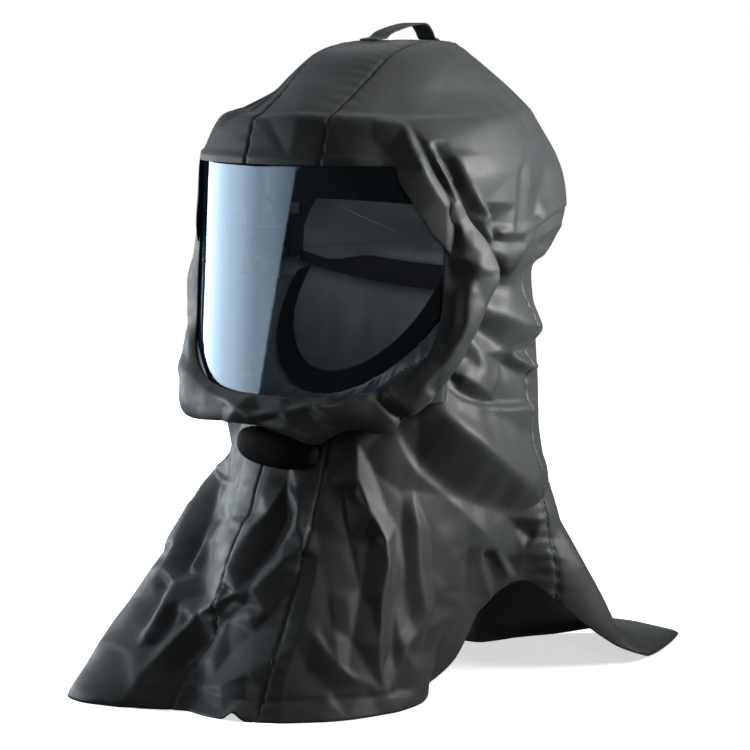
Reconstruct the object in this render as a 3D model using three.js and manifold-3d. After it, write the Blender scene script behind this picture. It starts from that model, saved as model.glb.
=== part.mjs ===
// Long welding hood: a coated-cloth hood over a light head frame, with a clear curved visor,
// a puffed collar round the visor, a gathered face seal inside it, and a cape that stands on its hem.
// Millimetres, +Z up, the face looks along -Y. A bearing is measured from the front, positive to +X.
import * as THREE from "three";
import { mergeVertices } from "three/addons/utils/BufferGeometryUtils.js";
import Module from "manifold-3d";

const wasm = await Module();
wasm.setup();

// Driving dimensions
const CLOTH = 1.5; // wall of the coated cloth
const SEAM_GAP = 0.4; // gap left between two panels that are sewn together
const TOUCH = 0.4; // gap left between a piece and what carries it
const HEM_ARCH = { bearing: 84, spanFront: 46, spanRear: 42, rise: 85, power: 1.4, fadeHeight: 150 };
const CROWN_SEAM = 36; // half width of the crown's centre panel
// The bib's seams seen from above: how far from the middle at a reach, and how much further per mm beyond it.
const BIB_SEAM = { reach: 150, left: 34, leftSlope: -0.07, right: 22, rightSlope: 0.32 };
const SIDE_SEAM = 0.25; // rise of the side seams' planes over their run, seen from above
const VISOR = {
  radius: 146, wall: 2, centre: -21, midHeight: 340, lean: 4, halfArc: 54.5, top: 440, bottom: 244,
};
const FACE_CUT = {
  top: 434, topHalf: 90, high: 376, highHalf: 117, to: 364, half: 123, from: 290,
  low: 272, lowHalf: 98, bottom: 234, bottomHalf: 56, back: -62,
};
const COLLAR = { from: -106, to: 104, middle: 345, halfHeight: 100, power: 3.2, inset: 5 };
const GRIP = { length: 76, height: 31, depth: 26, x: -5, z: 206, tilt: 6 };
const HANDLE = { width: 17, wall: 1.6 };
const FRAME = { inside: 95.5, wall: 2.5, bossRadius: 9, bossY: 0, bossZ: 362 };
const SWEAT_BAND = { half: 95, front: 82, centre: -22, low: 404, height: 38, wall: 5, drop: 12, arc: 91 };
const NAPE = { half: 95, reach: 97, centre: 4, z: 350, dip: 26, height: 16, wall: 2 };
const SEAL = {
  half: 84, front: 97, centre: -15, z: 335, drop: 79, arc: 90,
  waves: 15, ruffle: 4, sag: 8, wall: 1, elastic: 15,
};

const RAD = Math.PI / 180;
const mix = (a, b, t) => a + (b - a) * t;
const clamp = (value) => Math.min(1, Math.max(0, value));
const spread = (from, to, steps) => Array.from({ length: steps + 1 }, (_, i) => mix(from, to, i / steps));

function table(columns, rows) {
  return rows.map((row) => Object.fromEntries(columns.map((name, i) => [name, row[i]])));
}

// A Catmull-Rom curve through the rows of a table, for each of its columns.
function rowAt(rows, position) {
  const last = rows.length - 1;
  const i = Math.max(0, Math.min(Math.floor(position), last - 1));
  const t = position - i;
  const pick = (k) => rows[Math.max(0, Math.min(last, k))];
  const [a, b, c, d] = [pick(i - 1), pick(i), pick(i + 1), pick(i + 2)];
  const t2 = t * t;
  const t3 = t2 * t;
  return Object.fromEntries(Object.keys(b).map((name) => {
    const leave = (c[name] - a[name]) / 2;
    const arrive = (d[name] - b[name]) / 2;
    const ends = (2 * t3 - 3 * t2 + 1) * b[name] + (3 * t2 - 2 * t3) * c[name];
    return [name, ends + (t3 - 2 * t2 + t) * leave + (t3 - t2) * arrive];
  }));
}

// Sections of the cloth shell from the hem to the top of the crown: reaches from an axis at y = centre.
const REACHES = ["front", "frontSide", "side", "rearSide", "rear"];
const SECTIONS = table(["height", "centre", ...REACHES], [
  [0, 0, 246, 150, 112, 150, 108],
  [45, 0, 224, 150, 116, 146, 110],
  [95, 0, 200, 147, 121, 138, 114],
  [150, 0, 175, 140, 124, 132, 119],
  [205, 0, 156, 134, 124, 128, 123],
  [255, 0, 143, 128, 122, 125, 125],
  [305, 4, 138, 127, 119, 121, 121],
  [340, 10, 150, 134, 117, 116, 116],
  [353, 20, 180, 162, 124, 126, 126],
  [374, 20, 188, 174, 129, 140, 146],
  [402, 20, 187, 174, 132, 144, 153],
  [434, 20, 185, 172, 129, 136, 146],
  [468, 20, 177, 156, 115, 116, 126],
  [477, 20, 166, 133, 106, 108, 118],
  [489, 20, 145, 112, 93, 95, 104],
  [502, 20, 122, 98, 80, 80, 87],
  [519, 20, 94, 78, 62, 59, 64],
  [527, 20, 68, 61, 51, 48, 50],
  [531, 20, 42, 42, 38, 38, 38],
  [532, 20, 8, 8, 8, 8, 8],
]);
const TOP_ROW = SECTIONS.length - 1;
const CROWN_ROW = 7.5; // the crown is sewn to the cape here
const BROW = { low: 350, high: 452, bearing: 50, fade: 2.5 }; // where the shell rides on the visor

// The reach of a section at a bearing: the cosine series through its five named reaches.
function reachOf(section, bearing) {
  const n = REACHES.length - 1;
  const half = (k) => (k === 0 || k === n ? 0.5 : 1);
  let sum = 0;
  for (let k = 0; k <= n; k++) {
    let share = 0;
    REACHES.forEach((name, j) => {
      share += section[name] * half(j) * Math.cos((k * j * Math.PI) / n);
    });
    sum += (2 / n) * share * half(k) * Math.cos(k * bearing * RAD);
  }
  return sum;
}

const visorCentre = (height) => VISOR.centre + (height - VISOR.midHeight) * Math.tan(VISOR.lean * RAD);

// The reach, from a section's axis, of a circle just clear of the visor's outside.
function visorReach(section, bearing) {
  const radius = VISOR.radius + VISOR.wall + TOUCH + CLOTH + 0.8;
  const offset = section.centre - visorCentre(section.height);
  return offset * Math.cos(bearing * RAD) + Math.sqrt(radius ** 2 - (offset * Math.sin(bearing * RAD)) ** 2);
}

function hemRise(bearing) {
  const off = Math.abs(bearing) - HEM_ARCH.bearing;
  const share = off < 0 ? -off / HEM_ARCH.spanFront : off / HEM_ARCH.spanRear;
  return share < 1 ? HEM_ARCH.rise * Math.cos((share * Math.PI) / 2) ** HEM_ARCH.power : 0;
}

function shellBase(bearing, row) {
  const turned = ((bearing + 540) % 360) - 180;
  const section = rowAt(SECTIONS, row);
  let reach = reachOf(section, turned);
  if (section.height > BROW.low && section.height < BROW.high && Math.abs(turned) < 90) {
    const past = Math.max(0, Math.abs(turned) - BROW.bearing);
    reach = Math.max(reach, visorReach(section, turned) - BROW.fade * past);
  }
  const lift = hemRise(turned) * clamp(1 - section.height / HEM_ARCH.fadeHeight);
  return new THREE.Vector3(
    reach * Math.sin(turned * RAD),
    section.centre - reach * Math.cos(turned * RAD),
    section.height + lift,
  );
}

// Folds of the shell, each a ridge (positive rise) or a valley (negative) between two places on it.
const FOLDS = table(["fromBearing", "fromHeight", "toBearing", "toHeight", "width", "riseFrom", "riseTo"], [
  // the cape's corners
  [-31, 0, -42, 215, 150, 92, 0],
  [124, 0, 112, 150, 60, 62, 0],
  [-124, 0, -112, 150, 60, 50, 0],
  [138, 0, 132, 50, 46, 66, 0],
  // the temples
  [26, 458, 54, 384, 24, 7, 6],
  [44, 460, 64, 374, 27, 10, 15],
  [36, 448, 58, 400, 18, -3, -6],
  [70, 426, 80, 378, 24, 5, 6],
  [-70, 440, -80, 380, 26, 6, 6],
  [-60, 410, -66, 372, 24, 4, 9],
  // the back of the crown above the neck
  [80, 376, 118, 402, 25, 8, 5],
  [88, 362, 118, 376, 20, -6, -4],
  [-84, 376, -122, 400, 26, 8, 5],
  [150, 374, 176, 402, 30, 6, 3],
  [-150, 372, -168, 404, 30, 6, 3],
  // the top of the crown
  [24, 480, 87, 486, 32, -6, -4],
  [-26, 474, -36, 508, 24, -6, -4],
  [-44, 474, -62, 498, 26, 5, 4],
  [34, 486, 48, 510, 24, 4, 3],
  // the neck and shoulder, wearer's left
  [64, 318, 92, 284, 26, 10, 11],
  [92, 284, 116, 304, 24, 8, 4],
  [88, 266, 114, 256, 24, -8, -6],
  [62, 298, 70, 254, 24, 9, 8],
  [56, 246, 108, 228, 25, -9, -7],
  [54, 234, 108, 138, 36, 13, 12],
  [38, 220, 66, 160, 32, -10, -6],
  [28, 222, 42, 183, 27, 6, 9],
  [42, 183, 68, 130, 28, 9, 11],
  [80, 150, 88, 100, 30, -8, -6],
  [40, 142, 41, 70, 26, -7, -3],
  // the neck and shoulder, wearer's right
  [-62, 310, -92, 280, 28, 9, 9],
  [-56, 250, -106, 236, 26, -8, -6],
  [-50, 238, -104, 150, 36, 12, 11],
  [-38, 222, -66, 160, 30, -11, -6],
  // the bib
  [-20, 200, -36, 90, 30, 6, 8],
  [-6, 196, -12, 60, 28, -5, -6],
  [8, 170, -2, 40, 26, 5, 6],
  [16, 200, 24, 40, 26, -5, -7],
  [30, 150, 34, 20, 26, 6, 9],
  // the back
  [150, 310, 146, 20, 38, 8, 12],
  [-152, 310, -148, 20, 38, 8, 12],
  [172, 290, 168, 10, 30, -6, -9],
  [-166, 280, -170, 10, 30, 5, 8],
]);
const FOLD_STEPS = 6;

function rowAtHeight(height) {
  let row = 0;
  while (row < TOP_ROW && rowAt(SECTIONS, row).height < height) row += 0.05;
  return row;
}

const FOLD_PATHS = FOLDS.map((fold) => ({
  ...fold,
  path: spread(0, 1, FOLD_STEPS).map((t) => shellBase(
    mix(fold.fromBearing, fold.toBearing, t),
    rowAtHeight(mix(fold.fromHeight, fold.toHeight, t)),
  )),
}));

// How far the folds lift the shell at a place.
function foldRise(place) {
  let rise = 0;
  const span = new THREE.Line3();
  const near = new THREE.Vector3();
  for (const fold of FOLD_PATHS) {
    let best = Infinity;
    let along = 0;
    for (let i = 0; i < FOLD_STEPS; i++) {
      span.set(fold.path[i], fold.path[i + 1]);
      const t = span.closestPointToPointParameter(place, true);
      const distance = span.at(t, near).distanceTo(place);
      if (distance < best) {
        best = distance;
        along = (i + t) / FOLD_STEPS;
      }
    }
    const off = Math.min(1, best / fold.width);
    rise += (1 - off * off) ** 2 * mix(fold.riseFrom, fold.riseTo, along);
  }
  return rise;
}

// A surface's outward normal from two small steps.
function normalOf(surface, u, v, stepU, stepV) {
  const across = surface(u + stepU, v).sub(surface(u - stepU, v));
  const along = surface(u, v + stepV).sub(surface(u, v - stepV));
  return across.cross(along).normalize();
}

// Low on the cape the cloth is pushed level, so the hem stays on the ground.
function levelled(normal, height) {
  normal.z *= clamp((height - 60) / 120);
  return normal.normalize();
}

// The folded shell. Where it rides on the visor a valley does not cut into it.
function shellPoint(bearing, row) {
  const place = shellBase(bearing, row);
  const normal = levelled(normalOf(shellBase, bearing, row, 1, 0.05), place.z);
  const atBrow = place.y < 0 && place.z > BROW.low && place.z < BROW.high;
  const onVisor = atBrow && Math.abs(bearing) < BROW.bearing + 8;
  const rise = foldRise(place);
  return place.addScaledVector(normal, onVisor ? Math.max(0, rise) : rise);
}

// An indexed geometry whose faces point outwards, whichever way its grid runs.
function geometryOf(points, index) {
  let volume = 0;
  for (let i = 0; i < index.length; i += 3) {
    const [a, b, c] = [points[index[i]], points[index[i + 1]], points[index[i + 2]]];
    volume += a.dot(new THREE.Vector3().crossVectors(b, c));
  }
  if (volume < 0) index.reverse();
  const geometry = new THREE.BufferGeometry();
  geometry.setAttribute("position", new THREE.Float32BufferAttribute(points.flatMap((p) => p.toArray()), 3));
  geometry.setIndex(index);
  return geometry;
}

// A closed solid between two grids of points, outer and inner, each a list of rows. From the flip column on,
// squares are split along their other diagonal, which is the way the folds run there. A closed wall can end
// in two poles, its outer and inner top.
function wallGeometry(outer, inner, { closed = false, flipFrom = Infinity, poles = null } = {}) {
  const rows = outer.length;
  const cols = outer[0].length;
  const at = (side, r, c) => side * rows * cols + r * cols + (c % cols);
  const index = [];
  const quad = (a, b, c, d) => index.push(a, b, c, a, c, d);
  const spans = closed ? cols : cols - 1;
  for (let c = 0; c < spans; c++) {
    for (let r = 0; r < rows - 1; r++) {
      if (c < flipFrom) {
        quad(at(0, r, c), at(0, r, c + 1), at(0, r + 1, c + 1), at(0, r + 1, c));
        quad(at(1, r, c), at(1, r + 1, c), at(1, r + 1, c + 1), at(1, r, c + 1));
      } else {
        quad(at(0, r, c + 1), at(0, r + 1, c + 1), at(0, r + 1, c), at(0, r, c));
        quad(at(1, r, c + 1), at(1, r, c), at(1, r + 1, c), at(1, r + 1, c + 1));
      }
    }
    quad(at(0, 0, c), at(1, 0, c), at(1, 0, c + 1), at(0, 0, c + 1));
    if (poles) {
      index.push(at(0, rows - 1, c), at(0, rows - 1, c + 1), 2 * rows * cols);
      index.push(at(1, rows - 1, c + 1), at(1, rows - 1, c), 2 * rows * cols + 1);
    } else {
      quad(at(0, rows - 1, c), at(0, rows - 1, c + 1), at(1, rows - 1, c + 1), at(1, rows - 1, c));
    }
  }
  for (let r = 0; r < rows - 1 && !closed; r++) {
    quad(at(0, r, 0), at(0, r + 1, 0), at(1, r + 1, 0), at(1, r, 0));
    quad(at(0, r, cols - 1), at(1, r, cols - 1), at(1, r + 1, cols - 1), at(0, r + 1, cols - 1));
  }
  return geometryOf([...outer.flat(), ...inner.flat(), ...(poles ?? [])], index);
}

// A wall on a surface(u, v): its outer face there, its inner face a wall's thickness inside.
function wallOn(surface, us, vs, thickness, step) {
  const outer = vs.map((v) => us.map((u) => surface(u, v)));
  const inner = vs.map((v, r) => us.map((u, c) => {
    const normal = normalOf(surface, u, v, step.u, step.v);
    return outer[r][c].clone().addScaledVector(normal, -thickness);
  }));
  return wallGeometry(outer, inner);
}

function clothShell(rows, bearings, poles = null) {
  const outer = rows.map((row) => bearings.map((bearing) => shellPoint(bearing, row)));
  const inner = rows.map((row, r) => bearings.map((bearing, c) => {
    const normal = levelled(normalOf(shellPoint, bearing, row, 2, 0.1), outer[r][c].z);
    return outer[r][c].clone().addScaledVector(normal, -CLOTH);
  }));
  const flipFrom = bearings.findIndex((bearing) => bearing > 0);
  return wallGeometry(outer, inner, { closed: true, flipFrom, poles });
}

// The whole room inside the shell, swollen or shrunk, to trim what meets the shell.
function shellRoom(rows, bearings, swell) {
  const rings = rows.map((row) => bearings.map((bearing) => {
    const normal = levelled(normalOf(shellPoint, bearing, row, 2, 0.1), rowAt(SECTIONS, row).height);
    return shellPoint(bearing, row).addScaledVector(normal, swell);
  }));
  const cols = bearings.length;
  const points = [...rings.flat(), new THREE.Vector3(0, 0, 0), new THREE.Vector3(0, 20, 533 + swell)];
  const index = [];
  for (let c = 0; c < cols; c++) {
    const d = (c + 1) % cols;
    for (let r = 0; r < rings.length - 1; r++) {
      const [low, lowNext] = [r * cols + c, r * cols + d];
      const [high, highNext] = [low + cols, lowNext + cols];
      if (bearings[c] <= 0) index.push(low, lowNext, highNext, low, highNext, high);
      else index.push(lowNext, highNext, high, lowNext, high, low);
    }
    const top = (rings.length - 1) * cols;
    index.push(d, c, points.length - 2, top + c, top + d, points.length - 1);
  }
  return geometryOf(points, index);
}

// Joins and cuts
function toSolid(geometry) {
  const bare = new THREE.BufferGeometry();
  bare.setAttribute("position", geometry.getAttribute("position").clone());
  bare.setIndex(geometry.getIndex());
  const welded = mergeVertices(bare, 1e-4);
  const mesh = new wasm.Mesh({
    numProp: 3,
    vertProperties: new Float32Array(welded.getAttribute("position").array),
    triVerts: new Uint32Array(welded.getIndex().array),
  });
  mesh.merge();
  return new wasm.Manifold(mesh);
}

function toGeometry(solid) {
  const mesh = solid.getMesh();
  const geometry = new THREE.BufferGeometry();
  geometry.setAttribute("position", new THREE.Float32BufferAttribute(Array.from(mesh.vertProperties), 3));
  geometry.setIndex(Array.from(mesh.triVerts));
  return geometry;
}

// The largest body of a solid: crumbs that a cut leaves at a fold are dropped.
function mainBody(solid) {
  const bodies = solid.decompose();
  return bodies.sort((a, b) => b.volume() - a.volume())[0];
}

// An upright prism over a plan, corners as [x, y].
function prism(corners, low = -50, high = 700) {
  const shape = new THREE.Shape(corners.map(([x, y]) => new THREE.Vector2(x, y)));
  const geometry = new THREE.ExtrudeGeometry(shape, { depth: high - low, bevelEnabled: false });
  geometry.translate(0, 0, low);
  return toSolid(geometry);
}

// A shape drawn in x and z, run back from the front.
function faceOpening() {
  const cut = FACE_CUT;
  const shape = new THREE.Shape();
  shape.moveTo(-cut.topHalf, cut.top);
  shape.lineTo(cut.topHalf, cut.top);
  shape.lineTo(cut.highHalf, cut.high);
  shape.lineTo(cut.half, cut.to);
  shape.lineTo(cut.half, cut.from);
  shape.lineTo(cut.lowHalf, cut.low);
  shape.quadraticCurveTo(cut.lowHalf, cut.bottom, cut.bottomHalf, cut.bottom);
  shape.lineTo(-cut.bottomHalf, cut.bottom);
  shape.quadraticCurveTo(-cut.lowHalf, cut.bottom, -cut.lowHalf, cut.low);
  shape.lineTo(-cut.half, cut.from);
  shape.lineTo(-cut.half, cut.to);
  shape.lineTo(-cut.highHalf, cut.high);
  shape.closePath();
  const geometry = new THREE.ExtrudeGeometry(shape, { depth: 300, bevelEnabled: false, curveSegments: 6 });
  geometry.rotateX(Math.PI / 2);
  geometry.translate(0, FACE_CUT.back, 0);
  return toSolid(geometry);
}

// Visor: a leaning cylinder with a rounded lower outline.
function visorPlace(arc, height, radius) {
  const y = visorCentre(height) - radius * Math.cos(arc * RAD);
  return new THREE.Vector3(radius * Math.sin(arc * RAD), y, height);
}

// Half the visor's arc at a height, in degrees, narrower towards its rounded lower corners.
function visorHalfArc(height) {
  const below = clamp((COLLAR.middle - height) / (COLLAR.middle - VISOR.bottom + 2));
  return VISOR.halfArc * (1 - below ** COLLAR.power) ** (1 / COLLAR.power);
}

function visorSheet() {
  const heights = [...spread(VISOR.bottom, 280, 5), 312, 345, VISOR.top];
  const shares = spread(-1, 1, 18);
  const face = (radius) => heights.map((height) => shares.map((share) => (
    visorPlace(share * visorHalfArc(height), height, radius)
  )));
  return wallGeometry(face(VISOR.radius + VISOR.wall), face(VISOR.radius));
}

// Collar: a roll of cloth round the opening. Stations run from the wearer's right over the chin.
const COLLAR_STATIONS = table(["width", "puff", "tuck"], [
  [24, 2, 30],
  [38, 15, 46],
  [40, 22, 44],
  [23, 16, 32],
  [13, 12, 26],
  [16, 13, 27],
  [28, 16, 36],
  [38, 17, 46],
  [24, 3, 34],
]);
// Folds across the roll: where they start at the visor and end at the neck, in degrees round the opening.
const COLLAR_FOLDS = table(["from", "to", "width", "rise"], [
  [-88, -80, 9, 5],
  [-66, -72, 8, -5],
  [-50, -44, 10, 6],
  [-30, -20, 9, -4],
  [-12, -6, 8, 4],
  [14, 24, 9, 5],
  [34, 30, 8, -5],
  [50, 56, 9, 6],
  [66, 60, 8, -5],
  [82, 90, 9, 6],
]);

// The opening's outline at an angle from straight down, as arc length and height on the visor.
function openingOutline(angle) {
  const halfWidth = VISOR.halfArc * RAD * VISOR.radius;
  const sine = Math.sin(angle * RAD);
  const cosine = Math.cos(angle * RAD);
  const wide = (Math.abs(sine) / halfWidth) ** COLLAR.power;
  const high = (Math.abs(cosine) / COLLAR.halfHeight) ** COLLAR.power;
  const reach = (wide + high) ** (-1 / COLLAR.power);
  return { arc: reach * sine, height: COLLAR.middle - reach * cosine };
}

function collarPlace(angle, share) {
  const place = openingOutline(angle);
  const ahead = openingOutline(angle + 1);
  const behind = openingOutline(angle - 1);
  const outward = new THREE.Vector2(ahead.height - behind.height, behind.arc - ahead.arc).normalize();
  const arc = place.arc / VISOR.radius;
  const lean = Math.tan(VISOR.lean * RAD);
  const along = new THREE.Vector3(Math.cos(arc), Math.sin(arc), 0);
  const up = new THREE.Vector3(0, lean, 1).normalize();
  const facing = new THREE.Vector3(Math.sin(arc), -Math.cos(arc), lean).normalize();
  const out = along.multiplyScalar(outward.x).addScaledVector(up, outward.y);
  const last = COLLAR_STATIONS.length - 1;
  const station = rowAt(COLLAR_STATIONS, ((angle - COLLAR.from) / (COLLAR.to - COLLAR.from)) * last);
  let lift = station.puff;
  for (const fold of COLLAR_FOLDS) {
    const off = (angle - mix(fold.from, fold.to, share)) / fold.width;
    if (Math.abs(off) < 1) lift += (1 - off * off) ** 2 * fold.rise;
  }
  const half = station.width / 2;
  const across = half - (half + COLLAR.inset) * Math.cos(Math.PI * share);
  const raised = lift * Math.max(0, Math.sin(Math.PI * share)) ** 0.8 - station.tuck * share ** 2;
  const start = visorPlace(arc / RAD, place.height, VISOR.radius + VISOR.wall + TOUCH + CLOTH);
  return start.addScaledVector(out, across).addScaledVector(facing, raised);
}

function collarRoll() {
  const angles = spread(COLLAR.to, COLLAR.from, 36);
  return wallOn(collarPlace, angles, spread(0.02, 1, 5), CLOTH, { u: -1, v: 0.01 });
}

// Handle: a loop of webbing along the top of the crown, as places [y, lift above the crown].
const HANDLE_PATH = table(["y", "lift"], [
  [-34, 0],
  [-20, 0],
  [-10, 4],
  [10, 8],
  [32, 11],
  [46, 11],
  [54, 6],
  [60, 0],
  [72, 0],
]);

function crownTop(y) {
  const bearing = y < 20 ? 0 : 180;
  const wanted = Math.abs(y - 20);
  let row = TOP_ROW;
  while (row > 0 && reachOf(rowAt(SECTIONS, row), bearing) < wanted) row -= 0.02;
  return rowAt(SECTIONS, row).height;
}

function handleStrap() {
  const last = HANDLE_PATH.length - 1;
  const sides = [HANDLE.width / 2, -HANDLE.width / 2];
  const place = (position, x) => {
    const { y, lift } = rowAt(HANDLE_PATH, position);
    return new THREE.Vector3(x, y, crownTop(y) + Math.max(0, lift) + TOUCH + HANDLE.wall);
  };
  const positions = spread(0, last, 16);
  const outer = positions.map((position) => sides.map((x) => place(position, x)));
  const inner = positions.map((position, r) => sides.map((x, c) => {
    const ahead = place(Math.min(last, position + 0.05), x);
    const behind = place(Math.max(0, position - 0.05), x);
    const run = ahead.sub(behind).normalize();
    return outer[r][c].clone().add(new THREE.Vector3(0, run.z, -run.y).multiplyScalar(HANDLE.wall));
  }));
  return wallGeometry(outer, inner);
}

// Chin grip: a rounded bar lying against the bib.
function chinGrip() {
  const bar = new THREE.SphereGeometry(1, 16, 8);
  const places = bar.getAttribute("position");
  const back = -reachOf(rowAt(SECTIONS, rowAtHeight(GRIP.z)), 0);
  for (let i = 0; i < places.count; i++) {
    const p = new THREE.Vector3().fromBufferAttribute(places, i);
    const square = (value, power) => Math.sign(value) * Math.abs(value) ** power;
    const half = [GRIP.length / 2, GRIP.depth / 2, GRIP.height / 2];
    p.set(square(p.x, 0.75) * half[0], square(p.y, 0.8) * half[1], square(p.z, 0.8) * half[2]);
    p.applyAxisAngle(new THREE.Vector3(0, 1, 0), GRIP.tilt * RAD);
    p.y += 0.004 * p.x * p.x;
    places.setXYZ(i, p.x + GRIP.x, p.y + back - GRIP.depth / 2, p.z + GRIP.z);
  }
  return bar;
}

// Head frame: a slotted plate at each temple, with a boss that the crown hangs on.
const FRAME_OUTLINE = table(["y", "z"], [
  [-58, 432],
  [48, 428],
  [56, 412],
  [24, 388],
  [12, 372],
  [10, 346],
  [-10, 346],
  [-14, 370],
  [-34, 388],
  [-56, 400],
]);
const FRAME_SLOTS = table(["y", "z", "length", "height"], [
  [30, 414, 12, 5],
  [12, 406, 9, 8],
  [0, 388, 16, 9],
  [-22, 418, 12, 5],
  [-40, 408, 12, 6],
]);

function headFrame(side) {
  const shape = new THREE.Shape(FRAME_OUTLINE.map(({ y, z }) => new THREE.Vector2(y, z)));
  for (const slot of FRAME_SLOTS) {
    const hole = new THREE.Path();
    const [y0, y1] = [slot.y - slot.length / 2, slot.y + slot.length / 2];
    const [z0, z1] = [slot.z - slot.height / 2, slot.z + slot.height / 2];
    hole.moveTo(y0, z0).lineTo(y1, z0).lineTo(y1, z1).lineTo(y0, z1);
    shape.holes.push(hole);
  }
  const plate = new THREE.ExtrudeGeometry(shape, { depth: FRAME.wall, bevelEnabled: false });
  const near = side > 0 ? FRAME.inside : -FRAME.inside - FRAME.wall;
  plate.rotateX(Math.PI / 2).rotateZ(Math.PI / 2).translate(near, 0, 0);
  const bossLength = 40;
  const boss = new THREE.CylinderGeometry(FRAME.bossRadius, FRAME.bossRadius, bossLength, 16);
  boss.rotateZ(Math.PI / 2).translate(side * (FRAME.inside + 1 + bossLength / 2), FRAME.bossY, FRAME.bossZ);
  return toGeometry(toSolid(plate).add(toSolid(boss).intersect(innerRoom)));
}

// A band standing on a path(share), its outer face there.
function band(path, shares, height, wall) {
  const outer = [0, 1].map((edge) => shares.map((share) => {
    const place = path(share);
    return place.setZ(place.z + edge * height);
  }));
  const inner = [0, 1].map((edge) => shares.map((share) => {
    const run = path(share + 0.01).sub(path(share - 0.01)).setZ(0).normalize();
    return path(share).add(new THREE.Vector3(-run.y * wall, run.x * wall, edge * height));
  }));
  return wallGeometry(outer, inner);
}

function sweatBand() {
  const path = (share) => {
    const angle = share * SWEAT_BAND.arc * RAD;
    return new THREE.Vector3(
      SWEAT_BAND.half * Math.sin(angle),
      SWEAT_BAND.centre - SWEAT_BAND.front * Math.cos(angle),
      SWEAT_BAND.low - SWEAT_BAND.drop * (1 - Math.cos(angle)),
    );
  };
  return band(path, spread(-1, 1, 24), SWEAT_BAND.height, SWEAT_BAND.wall);
}

function napeStrap() {
  const path = (share) => {
    const angle = share * 90 * RAD;
    return new THREE.Vector3(
      NAPE.half * Math.sin(-angle),
      NAPE.centre + NAPE.reach * Math.cos(angle),
      NAPE.z - NAPE.dip * Math.cos(angle),
    );
  };
  return band(path, spread(-1, 1, 24), NAPE.height, NAPE.wall);
}

// Face seal: gathered cloth from inside the visor's lower edge to an oval round the chin.
function sealRing(angle) {
  return new THREE.Vector3(
    SEAL.half * Math.sin(angle * RAD),
    SEAL.centre - SEAL.front * Math.cos(angle * RAD),
    SEAL.z - SEAL.drop * Math.cos(angle * RAD),
  );
}

function sealPlace(angle, share) {
  const outline = openingOutline(angle);
  const edge = visorPlace(outline.arc / VISOR.radius / RAD, outline.height + 2, VISOR.radius - TOUCH);
  const ring = sealRing(angle);
  const place = edge.lerp(ring, share);
  const swell = Math.sin(Math.PI * clamp(share));
  place.z += swell * (SEAL.ruffle * Math.sin((angle / SEAL.arc) * SEAL.waves * Math.PI) - SEAL.sag);
  return place;
}

// The elastic runs on from the seal's inner edge, past a gap.
function elasticPlace(angle, share) {
  const ring = sealRing(angle);
  const outward = ring.clone().sub(new THREE.Vector3(0, SEAL.centre, SEAL.z + 20)).normalize();
  return ring.addScaledVector(outward, -0.7 - SEAL.elastic * share);
}

const materials = {
  cloth: { color: 0x3a3d3f, roughness: 0.55 },
  seal: { color: 0x8d97a3, roughness: 0.7 },
  clear: { color: 0xbfd4e6, roughness: 0.05, transparent: true, opacity: 0.35 },
  plastic: { color: 0x17181a, roughness: 0.5 },
  strap: { color: 0x1b1c1e, roughness: 0.85 },
  pad: { color: 0x272b36, roughness: 0.9 },
  rubber: { color: 0x141414, roughness: 0.7 },
};
const hood = new THREE.Group();
hood.name = "long_welding_hood";
function add(name, geometry, finish) {
  const material = new THREE.MeshStandardMaterial({ metalness: 0, ...materials[finish] });
  const mesh = new THREE.Mesh(geometry, material);
  mesh.name = name;
  hood.add(mesh);
}

// Cloth panels: one shell, opened for the face and parted at its seams.
const BEARINGS = [...spread(-180, 20, 22), ...spread(25, 110, 17), ...spread(120, 172, 6)];
const CAPE_ROWS = spread(0, CROWN_ROW - 0.004, 15);
const CROWN_ROWS = [
  CROWN_ROW + 0.01, 8, 8.7, 9.4, 10.1, 10.7, 11.25, 11.9, 12.4, 13.2, 14.2, 15.5, 17, TOP_ROW,
];
const innerRoom = toSolid(shellRoom([...CAPE_ROWS, ...CROWN_ROWS], BEARINGS, -CLOTH - TOUCH));
const opening = faceOpening();
const top = rowAt(SECTIONS, TOP_ROW);
const poles = [top.height, top.height - CLOTH].map((height) => new THREE.Vector3(0, top.centre, height));
const crown = toSolid(clothShell(CROWN_ROWS, BEARINGS, poles)).subtract(opening);
const cape = toSolid(clothShell(CAPE_ROWS, BEARINGS)).subtract(opening);
const gap = SEAM_GAP / 2;
const NEAR = -90;
const FAR = 600;

// A panel: the part of a shell over a plan.
function addPanel(name, shell, plan) {
  add(name, toGeometry(mainBody(shell.intersect(prism(plan)))), "cloth");
}
const half = CROWN_SEAM - gap;
addPanel("crown_center_panel", crown, [[-half, -FAR], [half, -FAR], [half, FAR], [-half, FAR]]);
for (const [name, side] of [["crown_left_panel", 1], ["crown_right_panel", -1]]) {
  const near = side * (CROWN_SEAM + gap);
  const plan = [[near, -FAR], [side * FAR, -FAR], [side * FAR, FAR], [near, FAR]];
  addPanel(name, crown, side > 0 ? plan : plan.reverse());
}

// Where a bib seam is at a place in front, seen from above.
function seamX(side, y) {
  const beyond = -y - BIB_SEAM.reach;
  if (side > 0) return BIB_SEAM.left + BIB_SEAM.leftSlope * beyond;
  return -BIB_SEAM.right - BIB_SEAM.rightSlope * beyond;
}
addPanel("front_center_panel", cape, [
  [seamX(-1, NEAR) + gap, NEAR],
  [seamX(-1, -FAR) + gap, -FAR],
  [seamX(1, -FAR) - gap, -FAR],
  [seamX(1, NEAR) - gap, NEAR],
]);
for (const [name, side] of [["front_left_panel", 1], ["front_right_panel", -1]]) {
  const plan = [
    [side * gap + seamX(side, NEAR), NEAR],
    [side * gap + seamX(side, -FAR), -FAR],
    [side * FAR, -FAR],
    [side * FAR, FAR * SIDE_SEAM - gap],
    [side * 60, 60 * SIDE_SEAM - gap],
  ];
  addPanel(name, cape, side > 0 ? plan : plan.reverse());
}
const sideSeam = FAR * SIDE_SEAM + gap;
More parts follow.
